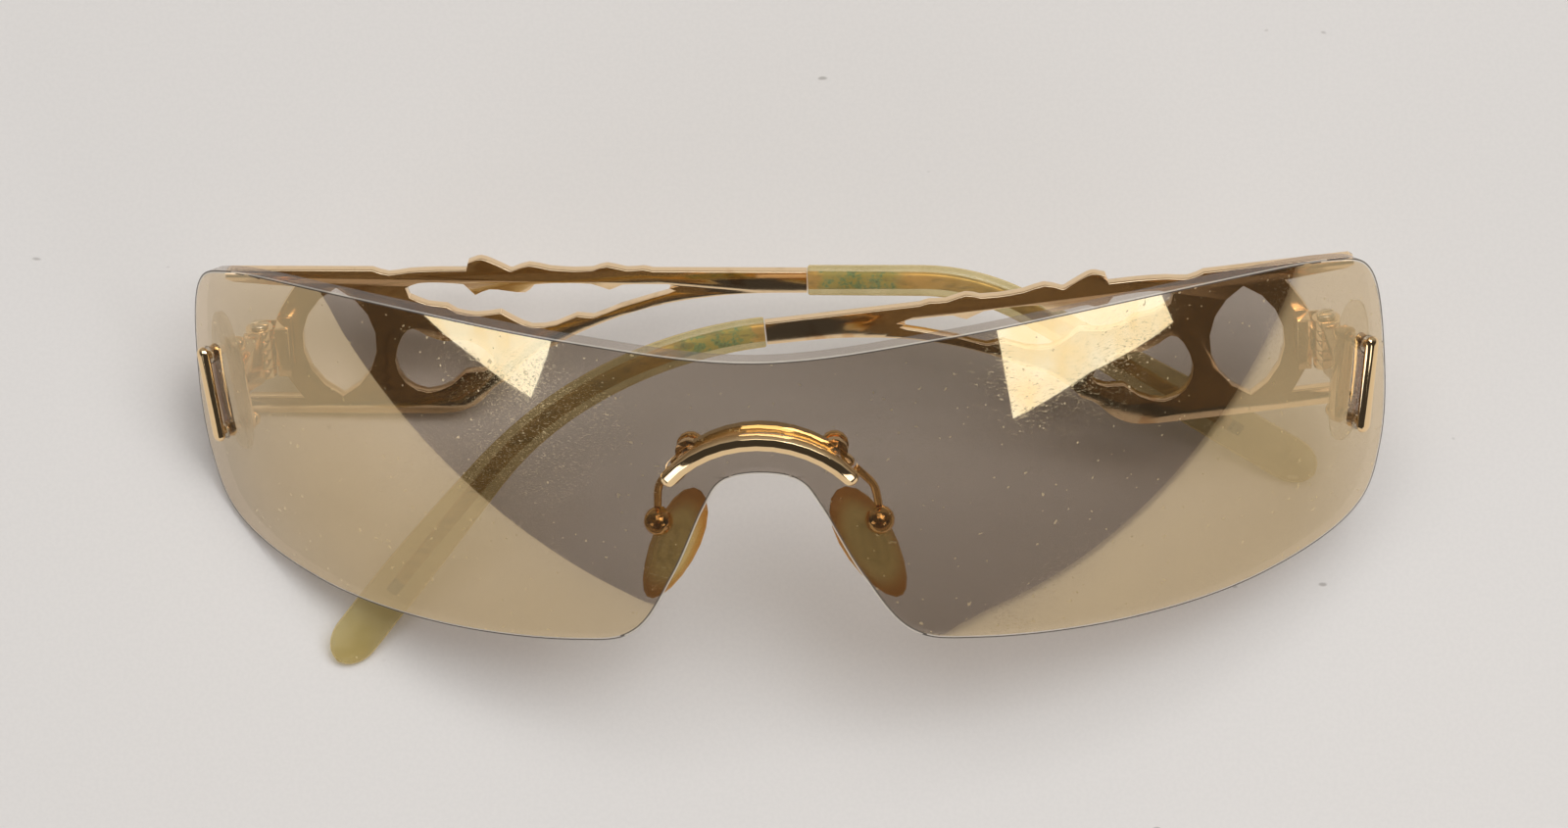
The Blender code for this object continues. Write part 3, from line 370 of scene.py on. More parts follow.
tip_plastic = plastic_finish(
    "tip_plastic", ((0.78, 0.68, 0.36), (0.70, 0.60, 0.28), (0.86, 0.66, 0.24)),
    0.60, 0.20, 0.80, 0.10, 0.4)
clear_plastic = plastic_finish(
    "clear_plastic", ((0.99, 0.90, 0.68), (0.95, 0.82, 0.55), (1.0, 0.93, 0.76)),
    0.10, 0.02, 0.85, 0.05, 0.1)

# %% [markdown]
# ## The nose pads
#
# A pad is clear olive in the middle and deep amber at its rim. Its "rim" value, 0 in the middle and
# 1 at the outline, places both, and the faint rings round its mount.


# %% Pad finish
def pad_finish():
    recipe = Finish("pad_plastic")
    here = recipe.place()
    rim = recipe.node("ShaderNodeAttribute", {"attribute_name": "rim"}).output("Fac")
    rim = rim + (recipe.noise(here, 260.0, 2.0) - 0.5) * 0.16
    wave = rim * 26.0 + recipe.noise(here, 180.0, 2.0) * 7.0
    rings = recipe.node("ShaderNodeMath", {"operation": "SINE"}, {0: wave})
    facing = recipe.facing(PLASTIC_BLEND)
    film, colour = recipe.tinted(0.72, (
        (None, (0.86, 0.74, 0.36)),
        (rings.between(0.0, 1.0) * rim.between(0.1, 0.6, 1.0, 0.0), (0.52, 0.42, 0.13)),
        (rim.between(0.58, 0.90), (0.72, 0.38, 0.05)),
        (facing.between(0.55, 0.9) * 0.7, (1.0, 0.72, 0.16))))
    normal = recipe.bump(rings * 0.3 + recipe.noise(here, 200.0, 2.0), 0.06 * MM, 0.5)
    body = recipe.solid({
        "Base Color": colour, "Roughness": 0.10 + rim.between(0.0, 1.0) * 0.06, "Normal": normal,
        "Coat Weight": 0.7, "Coat Roughness": 0.05, "IOR": 1.5})
    return recipe.done(recipe.mixed(facing.between(0.15, 0.9, 0.20, 0.85), film, body))


pad_plastic = pad_finish()

# %% [markdown]
# ## The wire inside a tip
#
# Brass shows amber through the plastic. Sweat creeps in at the metal end and leaves green rust. The
# wire's "along" value, 0 at that end and 1 at the other, says where the rust stops.


# %% Core wire finish
def core_finish():
    recipe = Finish("core_wire")
    here = recipe.place()
    run = recipe.node("ShaderNodeAttribute", {"attribute_name": "along"}).output("Fac")
    stains = recipe.noise(recipe.place((1, 3, 3)), 330.0, 3.0, 0.6)
    rust = recipe.noise(here, 900.0, 4.0, 0.7)
    colour = recipe.blend(run.between(0.22, 0.34), (0.84, 0.50, 0.15), (0.60, 0.40, 0.15))
    colour = recipe.blend(stains.between(0.46, 0.70) * 0.7, colour, (0.26, 0.16, 0.05))
    green = recipe.blend(rust.between(0.45, 0.60), (0.42, 0.36, 0.09), (0.09, 0.26, 0.16))
    green = recipe.blend(stains.between(0.50, 0.62) * 0.7, green, (0.16, 0.13, 0.04))
    edge = run + (stains - 0.5) * 0.05
    rusted = edge.between(0.015, 0.03) * edge.between(0.17, 0.21, 1.0, 0.0)
    colour = recipe.blend(rusted, colour, green)
    colour = recipe.blend(rust.between(0.60, 0.66) * rusted, colour, (0.05, 0.09, 0.05))
    colour = recipe.blend(run.between(0.965, 0.975), colour, (0.04, 0.02, 0.01))
    return recipe.done(recipe.solid({
        "Base Color": colour, "Metallic": 0.55 - rusted * 0.5, "Roughness": 0.30 + stains * 0.25,
        "Normal": recipe.bump(rust + stains, 0.04 * MM, 0.6)}))


core_wire = core_finish()

# %% [markdown]
# ## The lens
#
# A tinted sheet with a thin mirror coat in front. The tint is a film on each face, and the two let
# a little over half of the light through. The mirror is a gold gloss mixed in by a fixed share that
# grows at grazing angles, where its gold pales. Dust, smears and hairline scratches break it up.


# %% Lens front finish
MIRROR_SHARE = 0.40


def lens_front_finish():
    recipe = Finish("lens_front")
    here = recipe.place()
    hair = recipe.noise(recipe.place((0.7, 26, 26), (0.0, 0.1, 0.22)), 190.0, 2.0, 0.9)
    hair = hair.between(0.57, 0.66) * recipe.noise(here, 55.0, 2.0).between(0.42, 0.60)
    dust = recipe.noise(here, 1300.0, 1.0, 0.5).between(0.72, 0.76)
    brush = recipe.noise(recipe.place((1.2, 34, 34), (0.0, 0.55, 0.35)), 230.0, 2.0, 0.8)
    brush = brush.between(0.54, 0.66) * recipe.noise(here, 32.0, 2.0).between(0.50, 0.62)
    smear = recipe.noise(here, 45.0, 4.0, 0.6, 0.8)
    share = recipe.grazing(MIRROR_SHARE) + (smear - 0.5) * 0.10 + hair * 0.07 + dust * 0.2
    gilt = recipe.blend(recipe.facing().between(0.35, 0.80), (1.0, 0.79, 0.45), (0.93, 0.84, 0.74))
    mirror = recipe.solid({
        "Base Color": gilt, "Metallic": 1.0,
        "Roughness": 0.02 + smear.between(0.5, 0.8) * 0.04 + hair * 0.2 + brush * 0.3 + dust * 0.3,
        "Normal": recipe.bump(recipe.noise(here, 28.0, 2.0), 0.02 * MM, 0.3)})
    return recipe.done(recipe.mixed(share, recipe.film((0.85, 0.79, 0.74)), mirror))


lens_front = lens_front_finish()

# %% [markdown]
# ## The lens's back and edge
#
# The back has the tint's plain gloss, and the cut edge is pale. The polished corners beside it
# get painted light: a near-black finish paints thin dark lines of shade, and a pale one paints
# bright highlight lines where they would catch a lamp.


# %% Lens back and edge finishes
def lens_rear_finish():
    recipe = Finish("lens_rear")
    smear = recipe.noise(recipe.place(), 60.0, 3.0, 0.6)
    gloss = recipe.solid({"Base Color": (0.05, 0.045, 0.04), "Roughness": 0.04 + smear * 0.06})
    return recipe.done(recipe.mixed(recipe.grazing(), recipe.film((0.77, 0.73, 0.69)), gloss))


def lens_edge_finish(name, body_share, tint, low, high, rough):
    """Clear plastic of one tint, with a share of a solid between two tones."""
    recipe = Finish(name)
    grain = recipe.noise(recipe.place(), 120.0, 2.0)
    body = recipe.solid({
        "Base Color": recipe.blend(grain, low, high), "Roughness": rough + grain * 0.1, "IOR": 1.5})
    share = body_share + recipe.grazing(0.0) * 0.6 + grain * 0.05
    return recipe.done(recipe.mixed(share, recipe.film(tint), body))


lens_rear = lens_rear_finish()
lens_edge = lens_edge_finish("lens_edge", 0.10, (0.90, 0.87, 0.84),
                             (0.60, 0.57, 0.53), (0.70, 0.66, 0.62), 0.10)
# Painted highlight: a pale finish for front corners where a lamp would shine.
lens_glint_painted_highlight = lens_edge_finish("lens_glint_painted_highlight", 0.50, (0.92, 0.88, 0.82),
                              (0.78, 0.72, 0.62), (0.92, 0.86, 0.76), 0.12)
# Painted shade: a near-black finish that draws thin dark lines along the edge.
lens_rim_painted_shade = lens_edge_finish("lens_rim_painted_shade", 0.80, (0.50, 0.46, 0.42),
                            (0.07, 0.06, 0.05), (0.13, 0.11, 0.09), 0.08)
LENS_FINISHES = [lens_front, lens_rear, lens_edge, lens_rim_painted_shade, lens_glint_painted_highlight]
FRONT, REAR, EDGE, PAINTED_RIM_SHADE, PAINTED_GLINT = range(len(LENS_FINISHES))

# %% [markdown]
# ## A finished piece
#
# Every piece ends the same way: the bmesh becomes an object at the origin, with smooth faces and
# sharp corners kept, that rides on its CAD node's body and stands for that node.


# %% From bmesh to piece
def make_piece(bm, name, finishes, stands_for, sharp=40.0):
    """A bmesh as a finished piece. Its first node gives the body; sharp is in degrees."""
    mesh = bpy.data.meshes.new(name)
    bm.to_mesh(mesh)
    bm.free()
    for finish in finishes:
        mesh.materials.append(finish)
    mesh.shade_smooth()
    mesh.set_sharp_from_angle(angle=math.radians(sharp))
    piece = bpy.data.objects.new(name, mesh)
    bpy.context.scene.collection.objects.link(piece)
    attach(piece, body_of_node[stands_for[0]])
    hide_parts(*stands_for)
    return piece


print("pieces will ride on", sorted(set(body_of_node.values())))

# %% [markdown]
# ## Working on a mesh
#
# Three helpers do what most pieces need: they merge doubled points, round the sharp corners, and
# copy a CAD node with its flat faces made whole.

# %% Tidy, soften and copy
MERGE = 0.001 * MM


def tidy(bm):
    """Doubled points merged, faces pointing out."""
    bmesh.ops.remove_doubles(bm, verts=bm.verts, dist=MERGE)
    bmesh.ops.recalc_face_normals(bm, faces=bm.faces)


def soften(bm, width, segments=2, over=38.0):
    """Rounds every edge where two faces meet at more than an angle, in degrees."""
    corners = [edge for edge in bm.edges
               if len(edge.link_faces) == 2 and edge.calc_face_angle(0.0) > math.radians(over)]
    made = bmesh.ops.bevel(bm, geom=corners, offset=width, offset_type="OFFSET", segments=segments,
                           profile=0.5, affect="EDGES", clamp_overlap=True, material=-1)
    return made["faces"]


def from_cad(node, flat=1.5):
    """A merged copy of a CAD node's mesh, with its flat faces whole again."""
    bm = bmesh.new()
    bm.from_mesh(frame["nodes"][node].data)
    tidy(bm)
    bmesh.ops.dissolve_limit(bm, angle_limit=math.radians(flat), verts=bm.verts, edges=bm.edges)
    return bm


print("points closer than", MERGE / MM, "mm become one")

# %% [markdown]
# ## A loft
#
# A bent tip is a row of rounded rings, joined one to the next and filled at both ends. The rings'
# numbers give the "along" value.


# %% Loft
def loft(rings, sides=28, power=2.6):
    """A closed body through superellipse rings: each is a place, a height and a thickness."""
    bm = bmesh.new()
    layer = bm.verts.layers.float.new("along")
    loops = []
    for count, (place, height, thickness) in enumerate(rings):
        made = bmesh.ops.create_circle(bm, segments=sides, radius=1.0)["verts"]
        for vert in made:
            c, s = vert.co.x, vert.co.y
            vert[layer] = count / (len(rings) - 1)
            vert.co = place @ Vector((0.0, thickness / 2 * math.copysign(abs(s) ** (2 / power), s),
                                      height / 2 * math.copysign(abs(c) ** (2 / power), c)))
        loops.append(list({edge for vert in made for edge in vert.link_edges}))
    for first, second in zip(loops, loops[1:]):
        bmesh.ops.bridge_loops(bm, edges=first + second)
    for end in (loops[0], loops[-1]):
        bmesh.ops.edgeloop_fill(bm, edges=end)
    tidy(bm)
    return bm


# %% [markdown]
# ## The shield lens
#
# The lens is cut from a curved sheet and drawn flat first. These are half of its outline, its
# curves and its holes, the same as the CAD model's.

# %% Lens sizes
LENS_RADIUS = 95.0 * MM
LENS_RISE_RADIUS = 160.0 * MM
LENS_MIDDLE = -12.0 * MM
LENS_THICKNESS = 1.8 * MM
LENS_OUTLINE = ((0, 6.3), (22.3, 7.8), (42.7, 8.5), (61.0, 7.4), (75.0, 4.9), (81.3, 1.0), (82.6, -10),
                (82.0, -22.3), (77.8, -30.2), (63.3, -33.8), (44.9, -34.4), (25.4, -33.0),
                (16.8, -30.6), (11.2, -22.0), (7.0, -12.8), (4.4, -9.0), (0, -8.0))
LENS_HALF = 82.6 * MM
LENS_LOW, LENS_HIGH = -34.6 * MM, 8.8 * MM
LENS_CELL = 2.4 * MM
BRIDGE_STUD = (8.9 * MM, -6.48 * MM)
BRIDGE_HOLE = 0.66 * MM
MOUNT = (78.6 * MM, -12.8 * MM)
MOUNT_LEAN = math.radians(9.5)
MOUNT_REACH = 4.95 * MM
MOUNT_HOLE = 1.01 * MM
print("lens height in mm:", round((LENS_HIGH - LENS_LOW) / MM, 1))

# %% [markdown]
# ## Lens tools
#
# A smooth line runs through the outline's points. A flat sheet is sliced, drilled and wrapped:
# wrapping turns the distance along the sheet into an angle.


# %% Lens tools
def smooth_loop(points, steps):
    """A closed smooth line through the points."""
    count = len(points)
    line = []
    for i in range(count):
        a, b, c, d = (Vector(points[(i + k) % count]) for k in (-1, 0, 1, 2))
        for k in range(steps):
            t = k / steps
            line.append(0.5 * (2 * b + (c - a) * t + (2 * a - 5 * b + 4 * c - d) * t ** 2
                               + (3 * b - a - 3 * c + d) * t ** 3))
    return line


def wrap(bm):
    """Bends a flat sheet, with X along the lens, Y its depth and Z up, on to the lens's curve."""
    for vert in bm.verts:
        angle = vert.co.x / LENS_RADIUS
        sag = (vert.co.z - LENS_MIDDLE) ** 2 / (2 * LENS_RISE_RADIUS)
        reach = LENS_RADIUS - vert.co.y - sag
        vert.co = (reach * math.sin(angle), LENS_RADIUS - reach * math.cos(angle), vert.co.z)


def slice_up(bm, low, high, cell, axis):
    """Cuts every face by parallel planes, a cell apart."""
    normal = Vector((1, 0, 0)) if axis == 0 else Vector((0, 0, 1))
    count = int((high - low) / cell)
    for i in range(1, count + 1):
        bmesh.ops.bisect_plane(bm, geom=bm.verts[:] + bm.edges[:] + bm.faces[:], dist=1e-7,
                               plane_co=normal * (low + i * (high - low) / (count + 1)), plane_no=normal)


def drill(bm, centre, radius, sides=20):
    """Opens a round hole in a flat sheet: near it, the faces are cut along each of its sides."""
    for i in range(sides):
        angle = 2 * math.pi * i / sides
        out = Vector((math.cos(angle), 0.0, math.sin(angle)))
        near = [face for face in bm.faces
                if (face.calc_center_median() - centre).length < radius + LENS_CELL * 1.2]
        edges = {edge for face in near for edge in face.edges}
        verts = {vert for face in near for vert in face.verts}
        bmesh.ops.bisect_plane(bm, geom=list(verts) + list(edges) + near, dist=1e-7,
                               plane_co=centre + out * radius, plane_no=out)
    inside = [face for face in bm.faces if (face.calc_center_median() - centre).length < radius * 0.98]
    bmesh.ops.delete(bm, geom=inside, context="FACES")


print("slices", round(LENS_CELL / MM, 1), "mm apart")

# %% [markdown]
# ## The flat sheet
#
# One face is drawn from the half outline and its mirror image. It is sliced into a fine grid so
# that it can bend, and drilled six times: two holes for the bridge and two at each end.

# %% Flat sheet
half = [Vector((x, 0.0, z)) * MM for x, z in LENS_OUTLINE]
mirrored = [Vector((-point.x, 0.0, point.z)) for point in reversed(half[1:-1])]
outline = smooth_loop(half + mirrored, 10)

lens = bmesh.new()
corners = [lens.verts.new(point) for point in outline]
lens.faces.new(corners)
slice_up(lens, -LENS_HALF, LENS_HALF, LENS_CELL, 0)
slice_up(lens, LENS_LOW, LENS_HIGH, LENS_CELL * 1.25, 2)
for side in (-1, 1):
    drill(lens, Vector((side * BRIDGE_STUD[0], 0.0, BRIDGE_STUD[1])), BRIDGE_HOLE)
    for level in (-1, 1):
        drill(lens, Vector((side * (MOUNT[0] + level * MOUNT_REACH * math.sin(MOUNT_LEAN)), 0.0,
                            MOUNT[1] + level * MOUNT_REACH * math.cos(MOUNT_LEAN))), MOUNT_HOLE)
rim = [edge for edge in lens.edges if len(edge.link_faces) == 1]
print("lens sheet faces:", len(lens.faces), "rim edges:", len(rim))

# %% [markdown]
# ## Thickness, corners and curve
#
# The sheet is given its thickness, and a small bevel polishes its cut edge. Two narrow rings
# inset in the front face carry a painted dark line of shade and a painted pale highlight line
# just inside its outline. Then the whole is wrapped on its curve and laid in place.

# %% Lens thickness, bevel and curve
EDGE_BEVEL = 0.20 * MM
OUTER_RING, INNER_RING = 0.17 * MM, 0.16 * MM
LENS_SHARP = 12.0
top = bmesh.ops.extrude_face_region(lens, geom=lens.faces[:])
moved = [item for item in top["geom"] if isinstance(item, bmesh.types.BMVert)]
bmesh.ops.translate(lens, verts=moved, vec=(0, LENS_THICKNESS, 0))
bmesh.ops.recalc_face_normals(lens, faces=lens.faces)
soften(lens, EDGE_BEVEL, 2, 60.0)


def painted_highlight_side(face):
    """Painted highlight: true in the notch and along the brow, where the front corner would catch the
    lamps.
    """
    centre = face.calc_center_median() / MM
    notch = abs(centre.x) < 20 and -31.5 < centre.z < -6.5
    return notch or centre.z > 5.2


for face in lens.faces:
    depth = face.normal.y
    # The front corner's bevel faces get painted shade, or a painted highlight in the notch and along the
    # brow.
    corner = PAINTED_GLINT if depth < 0 and painted_highlight_side(face) else PAINTED_RIM_SHADE
    if abs(depth) > 0.95:
        face.material_index = FRONT if depth < 0 else REAR
    else:
        face.material_index = corner if abs(depth) > 0.2 else EDGE
# Outer ring painted shade, inner ring a painted highlight; the two swap in the notch and along the brow.
for plain, bright, width in ((PAINTED_RIM_SHADE, PAINTED_GLINT, OUTER_RING), (PAINTED_GLINT, PAINTED_RIM_SHADE, INNER_RING)):
    front = [face for face in lens.faces if face.material_index == FRONT]
    ring = bmesh.ops.inset_region(lens, faces=front, thickness=width, use_boundary=True,
                                  use_even_offset=False)
    for face in ring["faces"]:
        face.material_index = bright if painted_highlight_side(face) else plain
wrap(lens)
bmesh.ops.transform(lens, matrix=WORN, verts=lens.verts)
bmesh.ops.recalc_face_normals(lens, faces=lens.faces)
shield = make_piece(lens, "shield", LENS_FINISHES, ["shield_lens"], LENS_SHARP)
print("lens faces:", len(shield.data.polygons))

# %% [markdown]
# ## The metal pieces
#
# Cast and cut metal never has a knife edge. Each metal node is copied, its flat faces are made
# whole, and its corners are rounded by 0.05 to 0.24 mm, so that they catch the light. A row gives
# the start of a node's name, its finish, its slot and that rounding in millimetres.

# %% Metal pieces
METAL = {
    "bridge_front_bar": (gold, "gold", 0.10), "bridge_rear_bar": (gold, "gold", 0.10),
    "bridge_nut": (gold_amber, "gold", 0.15), "pad_arm": (gold_amber, "gold", 0.06),
    "pad_cup": (gold_amber, "gold", 0.20),
    "pad_pin": (gold, "gold", 0.05), "mount_bar": (gold, "gold", 0.16), "stud_nut": (gold, "gold", 0.10),
    "end_piece": (gold_worn, "gold_worn", 0.20), "hinge_screw": (steel, "steel", 0.05),
    "temple_hinge": (gold_worn, "gold_worn", 0.20), "temple_plate": (gold_worn, "gold_worn", 0.24),
}
count = 0
for node in sorted(frame["nodes"]):
    for start, (finish, slot, width) in METAL.items():
        if node.startswith(start):
            bm = from_cad(node)
            for face in soften(bm, width * MM):
                face.material_index = 1
            # The worn pieces' rounded corners take the paler gold: partly rubbed, partly a painted
            # highlight.
            corner = gold_edge_rubbed_and_highlit if finish is gold_worn else finish
            make_piece(bm, node + "_fine", [finish, corner], [node])
            count += 1
print("metal pieces:", count)

# %% [markdown]
# ## Where a tip lies
#
# Each tip was heated and bent round its core wire, and each has its own bend and its own place when
# folded. The table gives its lengths in millimetres and its angles in degrees.

# %% Tip sizes and places
PLATE_END = Vector((67.62, 3.0, 8.5)) * MM
TIP_LENGTH = 69.2 * MM
TIP_HEIGHTS = (3.9 * MM, 4.1 * MM, 5.9 * MM)
TIP_THICKNESS = (2.05 * MM, 2.4 * MM)
CORE_LENGTH = 58.5 * MM
CORE_HEIGHTS = (2.3 * MM, 1.5 * MM)
CORE_THICKNESS = 0.9 * MM
INSET_START = 24.0 * MM
TIP_CHAMFER = 0.3 * MM
RINGS = 48
TIPS = {
    "right": {"side": -1, "rest": 1.0, "droop": 1.4, "straight": 13.7, "radius": 24.6, "bend": 32.7,
              "inset": 0.5},
    "left": {"side": 1, "rest": -8.8, "droop": 2.3, "straight": 0.0, "radius": 50.0, "bend": 44.9,
             "inset": 4.7},
}


def temple_frame(tip, pivot):
    """From a temple's own axes, X along it and Z up, to the table."""
    axes = WORN.to_3x3() @ Matrix.Rotation(math.radians(-tip["side"] * tip["rest"]), 3, "Z")
    axes = axes @ Matrix.Diagonal((-tip["side"], 1, 1))
    axes = axes @ Matrix.Rotation(math.radians(tip["droop"]), 3, "Y")
    return Matrix.Translation(pivot) @ axes.to_4x4()


def tip_place(tip, along):
    """Where the tip's centre line is, a distance along it, and how it slopes."""
    straight, radius, bend = tip["straight"] * MM, tip["radius"] * MM, math.radians(tip["bend"])
    slope = min(max(along - straight, 0.0) / radius, bend)
    after = max(along - straight - radius * bend, 0.0)
    point = Vector((min(along, straight) + radius * math.sin(slope) + after * math.cos(bend), 0.0,
                    -radius * (1 - math.cos(slope)) - after * math.sin(bend)))
    reach = max(along - INSET_START, 0.0) / (TIP_LENGTH - INSET_START)
    point.y = -tip["inset"] * MM * reach ** 2
    return Matrix.Translation(PLATE_END + point) @ Matrix.Rotation(slope, 4, "Y")


def tip_ring(tip, along):
    """A tip's ring: its place, height and thickness, a distance along it."""
    middle, paddle = 0.42 * TIP_LENGTH, 0.84 * TIP_LENGTH
    low, mid, high = TIP_HEIGHTS
    reach = min(max(along - middle, 0.0) / (paddle - middle), 1.0)
    height = low + (mid - low) * min(along / middle, 1.0) + (high - mid) * reach * reach * (3 - 2 * reach)
    thickness = TIP_THICKNESS[0] + (TIP_THICKNESS[1] - TIP_THICKNESS[0]) * along / TIP_LENGTH
    nose = max(along - (TIP_LENGTH - 0.62 * high), 0.0) / (0.62 * high)
    fall = math.sqrt(max(1 - nose ** 2, 0.0))
    return tip_place(tip, along), height * max(fall, 0.1), thickness * max(fall, 0.2) ** 0.6


print("bends in degrees:", [tip["bend"] for tip in TIPS.values()])

# %% [markdown]
# ## Tips and their wires
#
# Both are lofts: rows of rounded rings along one bent line, closer together at the tip's round end.
# A clear tip works as a magnifying glass for the wire inside, so the seen wire is drawn a little
# thicker.

# %% Tips and their wires
for side, pivot in (("right", right_pivot), ("left", left_pivot)):
    tip = TIPS[side]
    frame_here = temple_frame(tip, pivot)
    steps = [0.0, TIP_CHAMFER / 2] + [TIP_LENGTH * i / RINGS for i in range(1, RINGS - 2)]
    steps += [TIP_LENGTH * (1 - 0.06 * (1 - math.sin(math.pi / 2 * i / 8))) for i in range(1, 9)]
    rings = [tip_ring(tip, along) for along in steps]
    place, height, thickness = rings[0]
    rings[0] = (place, height - TIP_CHAMFER, thickness - TIP_CHAMFER)
    sleeve = loft(rings)
    bmesh.ops.transform(sleeve, matrix=frame_here, verts=sleeve.verts)
    tidy(sleeve)
    make_piece(sleeve, f"tip_{side}", [tip_plastic], [f"temple_tip_{side}"])
    rings = []
    for along in (CORE_LENGTH * i / RINGS for i in range(RINGS + 1)):
        height = CORE_HEIGHTS[0] + (CORE_HEIGHTS[1] - CORE_HEIGHTS[0]) * along / CORE_LENGTH
        rings.append((tip_place(tip, along), height, CORE_THICKNESS))
    core = loft(rings, 16, 4.0)
    bmesh.ops.transform(core, matrix=frame_here, verts=core.verts)
    tidy(core)
    make_piece(core, f"core_{side}", [core_wire], [f"tip_core_{side}"])
    print(side, "tip rings:", len(steps), "wire rings:", len(rings))

# %% [markdown]
# ## Pads, gaskets and bushes
#
# These are copies of their nodes. The pads were pressed in a mould, and their faces are cut finer,
# so that the "rim" value can run smoothly over them. The gaskets' corners are rounded.

# %% Pads, gaskets and bushes
PAD_HALF_WIDTH = 4.0 * MM
for side in ("right", "left"):
    pad = bmesh.new()
    pad.from_mesh(frame["nodes"][f"nose_pad_{side}"].data)
    tidy(pad)
    bmesh.ops.subdivide_edges(pad, edges=pad.edges[:], cuts=2, use_grid_fill=True)
    places = [vert.co.copy() for vert in pad.verts]
    first = max(places, key=lambda co: (co - places[0]).length)
    last = max(places, key=lambda co: (co - first).length)
    middle, half = (first + last) / 2, (last - first) / 2
    layer = pad.verts.layers.float.new("rim")
    for vert in pad.verts:
        share = (vert.co - middle).dot(half) / half.length_squared
        aside = (vert.co - middle - half * share).length / PAD_HALF_WIDTH
        vert[layer] = min(math.hypot(share, aside), 1.0)
    print("pad length in mm:", round(2 * half.length / MM, 1))
    make_piece(pad, f"pad_{side}", [pad_plastic], [f"nose_pad_{side}"])
    gasket = from_cad(f"lens_gasket_{side}")
    soften(gasket, 0.3 * MM, 3)
    make_piece(gasket, f"gasket_{side}", [clear_plastic], [f"lens_gasket_{side}"])
    for level in ("lower", "upper"):
        bush = from_cad(f"stud_bush_{level}_{side}")
        make_piece(bush, f"bush_{level}_{side}", [clear_plastic],
                   [f"stud_bush_{level}_{side}"])

# %% [markdown]
# ## The table
#
# A round table of pale grey card, with a fine grain and a little lint. The lens mirrors it as far
# as its edge, and the dark room past that, so its size and place draw the lens's dark middle.

# %% Table
TABLE_RADIUS = 1.55
TABLE_CENTRE = (1.1, -0.7, 0.0)
table = bmesh.new()
bmesh.ops.create_circle(table, cap_ends=True, segments=96, radius=TABLE_RADIUS)
bmesh.ops.translate(table, verts=table.verts, vec=TABLE_CENTRE)
table_mesh = bpy.data.meshes.new("table")
table.to_mesh(table_mesh)
table.free()
recipe = Finish("table_top")
tone = recipe.noise(recipe.place(), 3.0, 2.0)
paper = recipe.blend(tone, (0.675, 0.648, 0.622), (0.70, 0.672, 0.645))
grain = recipe.noise(recipe.place(), 1800.0, 2.0, 0.6)
paper = recipe.blend(grain.between(0.35, 0.65) * 0.12, paper, (0.56, 0.54, 0.52))
lint = recipe.noise(recipe.place((1, 1.6, 1), (0, 0, 0.6)), 260.0, 1.0, 0.3).between(0.80, 0.84)
paper = recipe.blend(lint * 0.5, paper, (0.20, 0.17, 0.15))
table_mesh.materials.append(recipe.done(recipe.solid({
    "Base Color": paper, "Roughness": 0.75, "Specular IOR Level": 0.25})))
table_object = bpy.data.objects.new("table", table_mesh)
bpy.context.scene.collection.objects.link(table_object)
print("table radius:", TABLE_RADIUS, "m")

# %% [markdown]
# ## The room
#
# The room is dark in front, where the camera stands, and paler behind the glasses. Past the table's
# edge the camera itself sees a plain pale backdrop.

# %% World
ROOM_DARK = (0.045, 0.042, 0.04)
ROOM_PALE = (0.36, 0.345, 0.33)
BACKDROP = (0.66, 0.64, 0.61)
world = bpy.data.worlds.new("studio")
bpy.context.scene.world = world
recipe = Finish("studio", world)
heading = recipe.node("ShaderNodeTexCoord").output("Generated")
behind = recipe.node("ShaderNodeSeparateXYZ", None, {0: heading}).output("Y").between(-0.1, 0.6)
room = recipe.blend(behind, ROOM_DARK, ROOM_PALE)
room = recipe.blend(recipe.node("ShaderNodeLightPath").output("Is Camera Ray"), room, BACKDROP)
recipe.done(recipe.node("ShaderNodeBackground", None, {"Color": room}), "ShaderNodeOutputWorld")

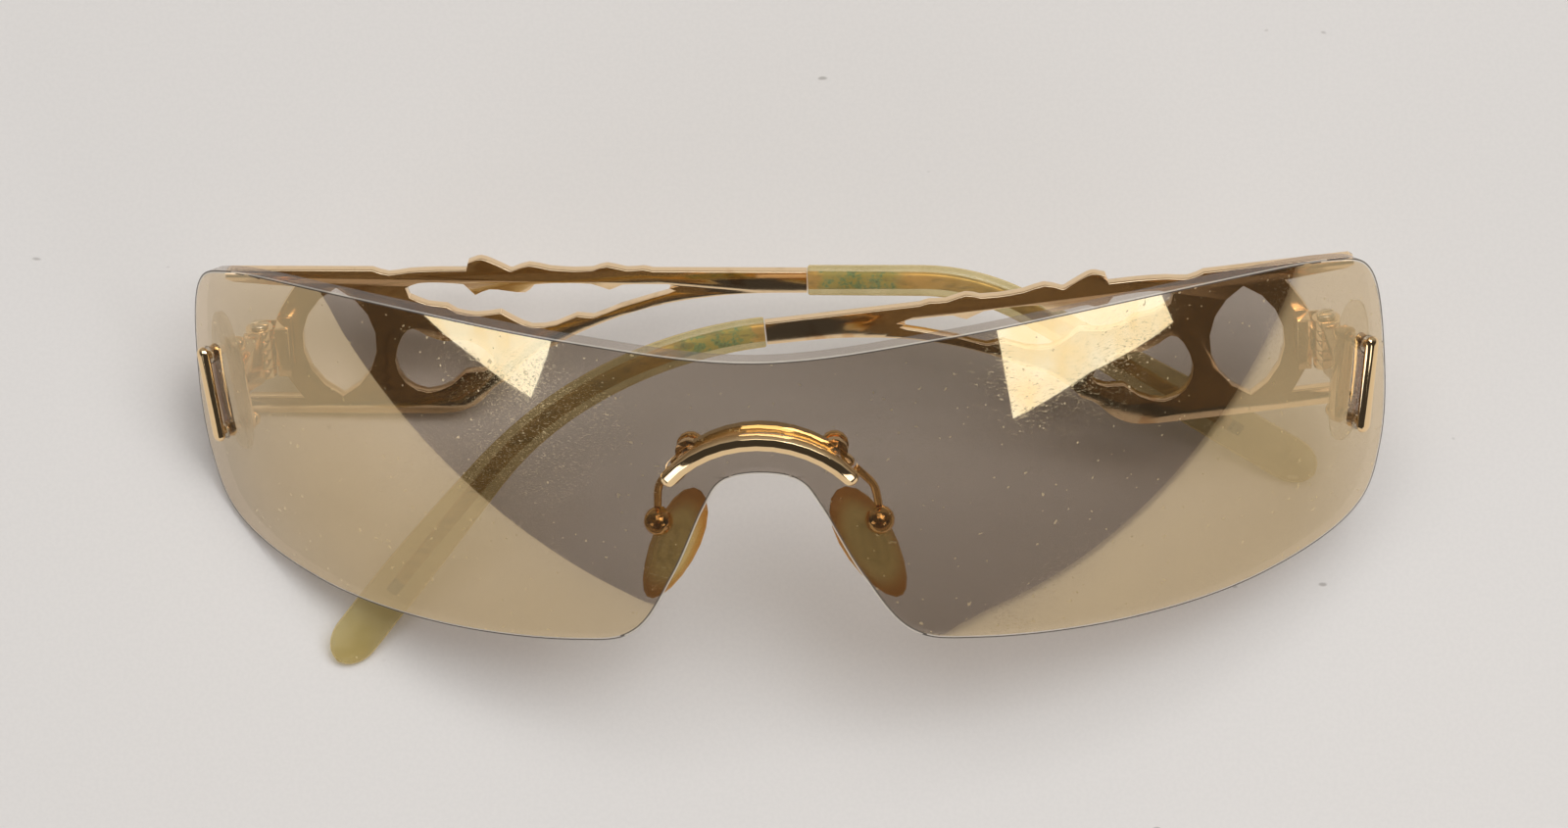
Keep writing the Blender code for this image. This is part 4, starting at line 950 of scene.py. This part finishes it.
# %% [markdown]
# ## Lamps and cards
#
# Two large soft lamps: one high on the right and one overhead. Two glowing cards stand in front,
# which show as gold patches in the lens's upper corners. A card's corners are directions from the
# glasses: degrees to the right, and degrees up.


# %% Lamps and cards
def soft_lamp(name, azimuth, elevation, distance, width, radiance):
    """A square soft box that faces the glasses, as bright as its radiance at any distance."""
    data = bpy.data.lights.new(name, "AREA")
    data.shape = "RECTANGLE"
    data.size = width
    data.size_y = width
    data.energy = radiance * 4.0 * width * width
    lamp = bpy.data.objects.new(name, data)
    bpy.context.scene.collection.objects.link(lamp)
    away = direction(math.radians(azimuth), math.radians(elevation))
    facing = away.to_track_quat("Z", "Y").to_matrix().to_4x4()
    lamp.matrix_world = Matrix.Translation(away * distance) @ facing


def light_card(name, corners, radiance, distance=1.5):
    """A glowing flat card, given by the directions of its corners."""
    card = bmesh.new()
    card.faces.new([card.verts.new(direction(math.radians(azimuth), math.radians(elevation)) * distance)
                    for azimuth, elevation in corners])
    mesh = bpy.data.meshes.new(name)
    card.to_mesh(mesh)
    card.free()
    recipe = Finish(name)
    blotch = recipe.noise(recipe.place(), 5.0, 4.0, 0.6)
    glow = recipe.blend(blotch.between(0.3, 0.75), (0.97, 1.08, 1.30), (0.98, 0.92, 0.80))
    mesh.materials.append(recipe.done(recipe.solid({
        "Base Color": (0.0, 0.0, 0.0), "Emission Color": glow, "Emission Strength": radiance})))
    card_object = bpy.data.objects.new(name, mesh)
    bpy.context.scene.collection.objects.link(card_object)
    card_object.visible_camera = False


CARD_RADIANCE = 2.3
CARDS = {
    "card_left": ((-40.6, 12.4), (-49.5, 10.0), (-57.7, 6.9), (-63, 4.6), (-62, 32), (-37.5, 32)),
    "card_right": ((29.6, 18.7), (41.6, 17.4), (54.5, 13.2), (54, 34), (31.2, 34)),
}
soft_lamp("key", 88, 69, 2.0, 1.05, 4.4)
soft_lamp("overhead", 190, 82, 1.9, 1.3, 2.4)
for name, card_corners in CARDS.items():
    light_card(name, card_corners, CARD_RADIANCE)
bpy.context.scene.view_settings.view_transform = "Standard"
print("lamps: 2, cards:", len(CARDS))

# %% [markdown]
# ## The end
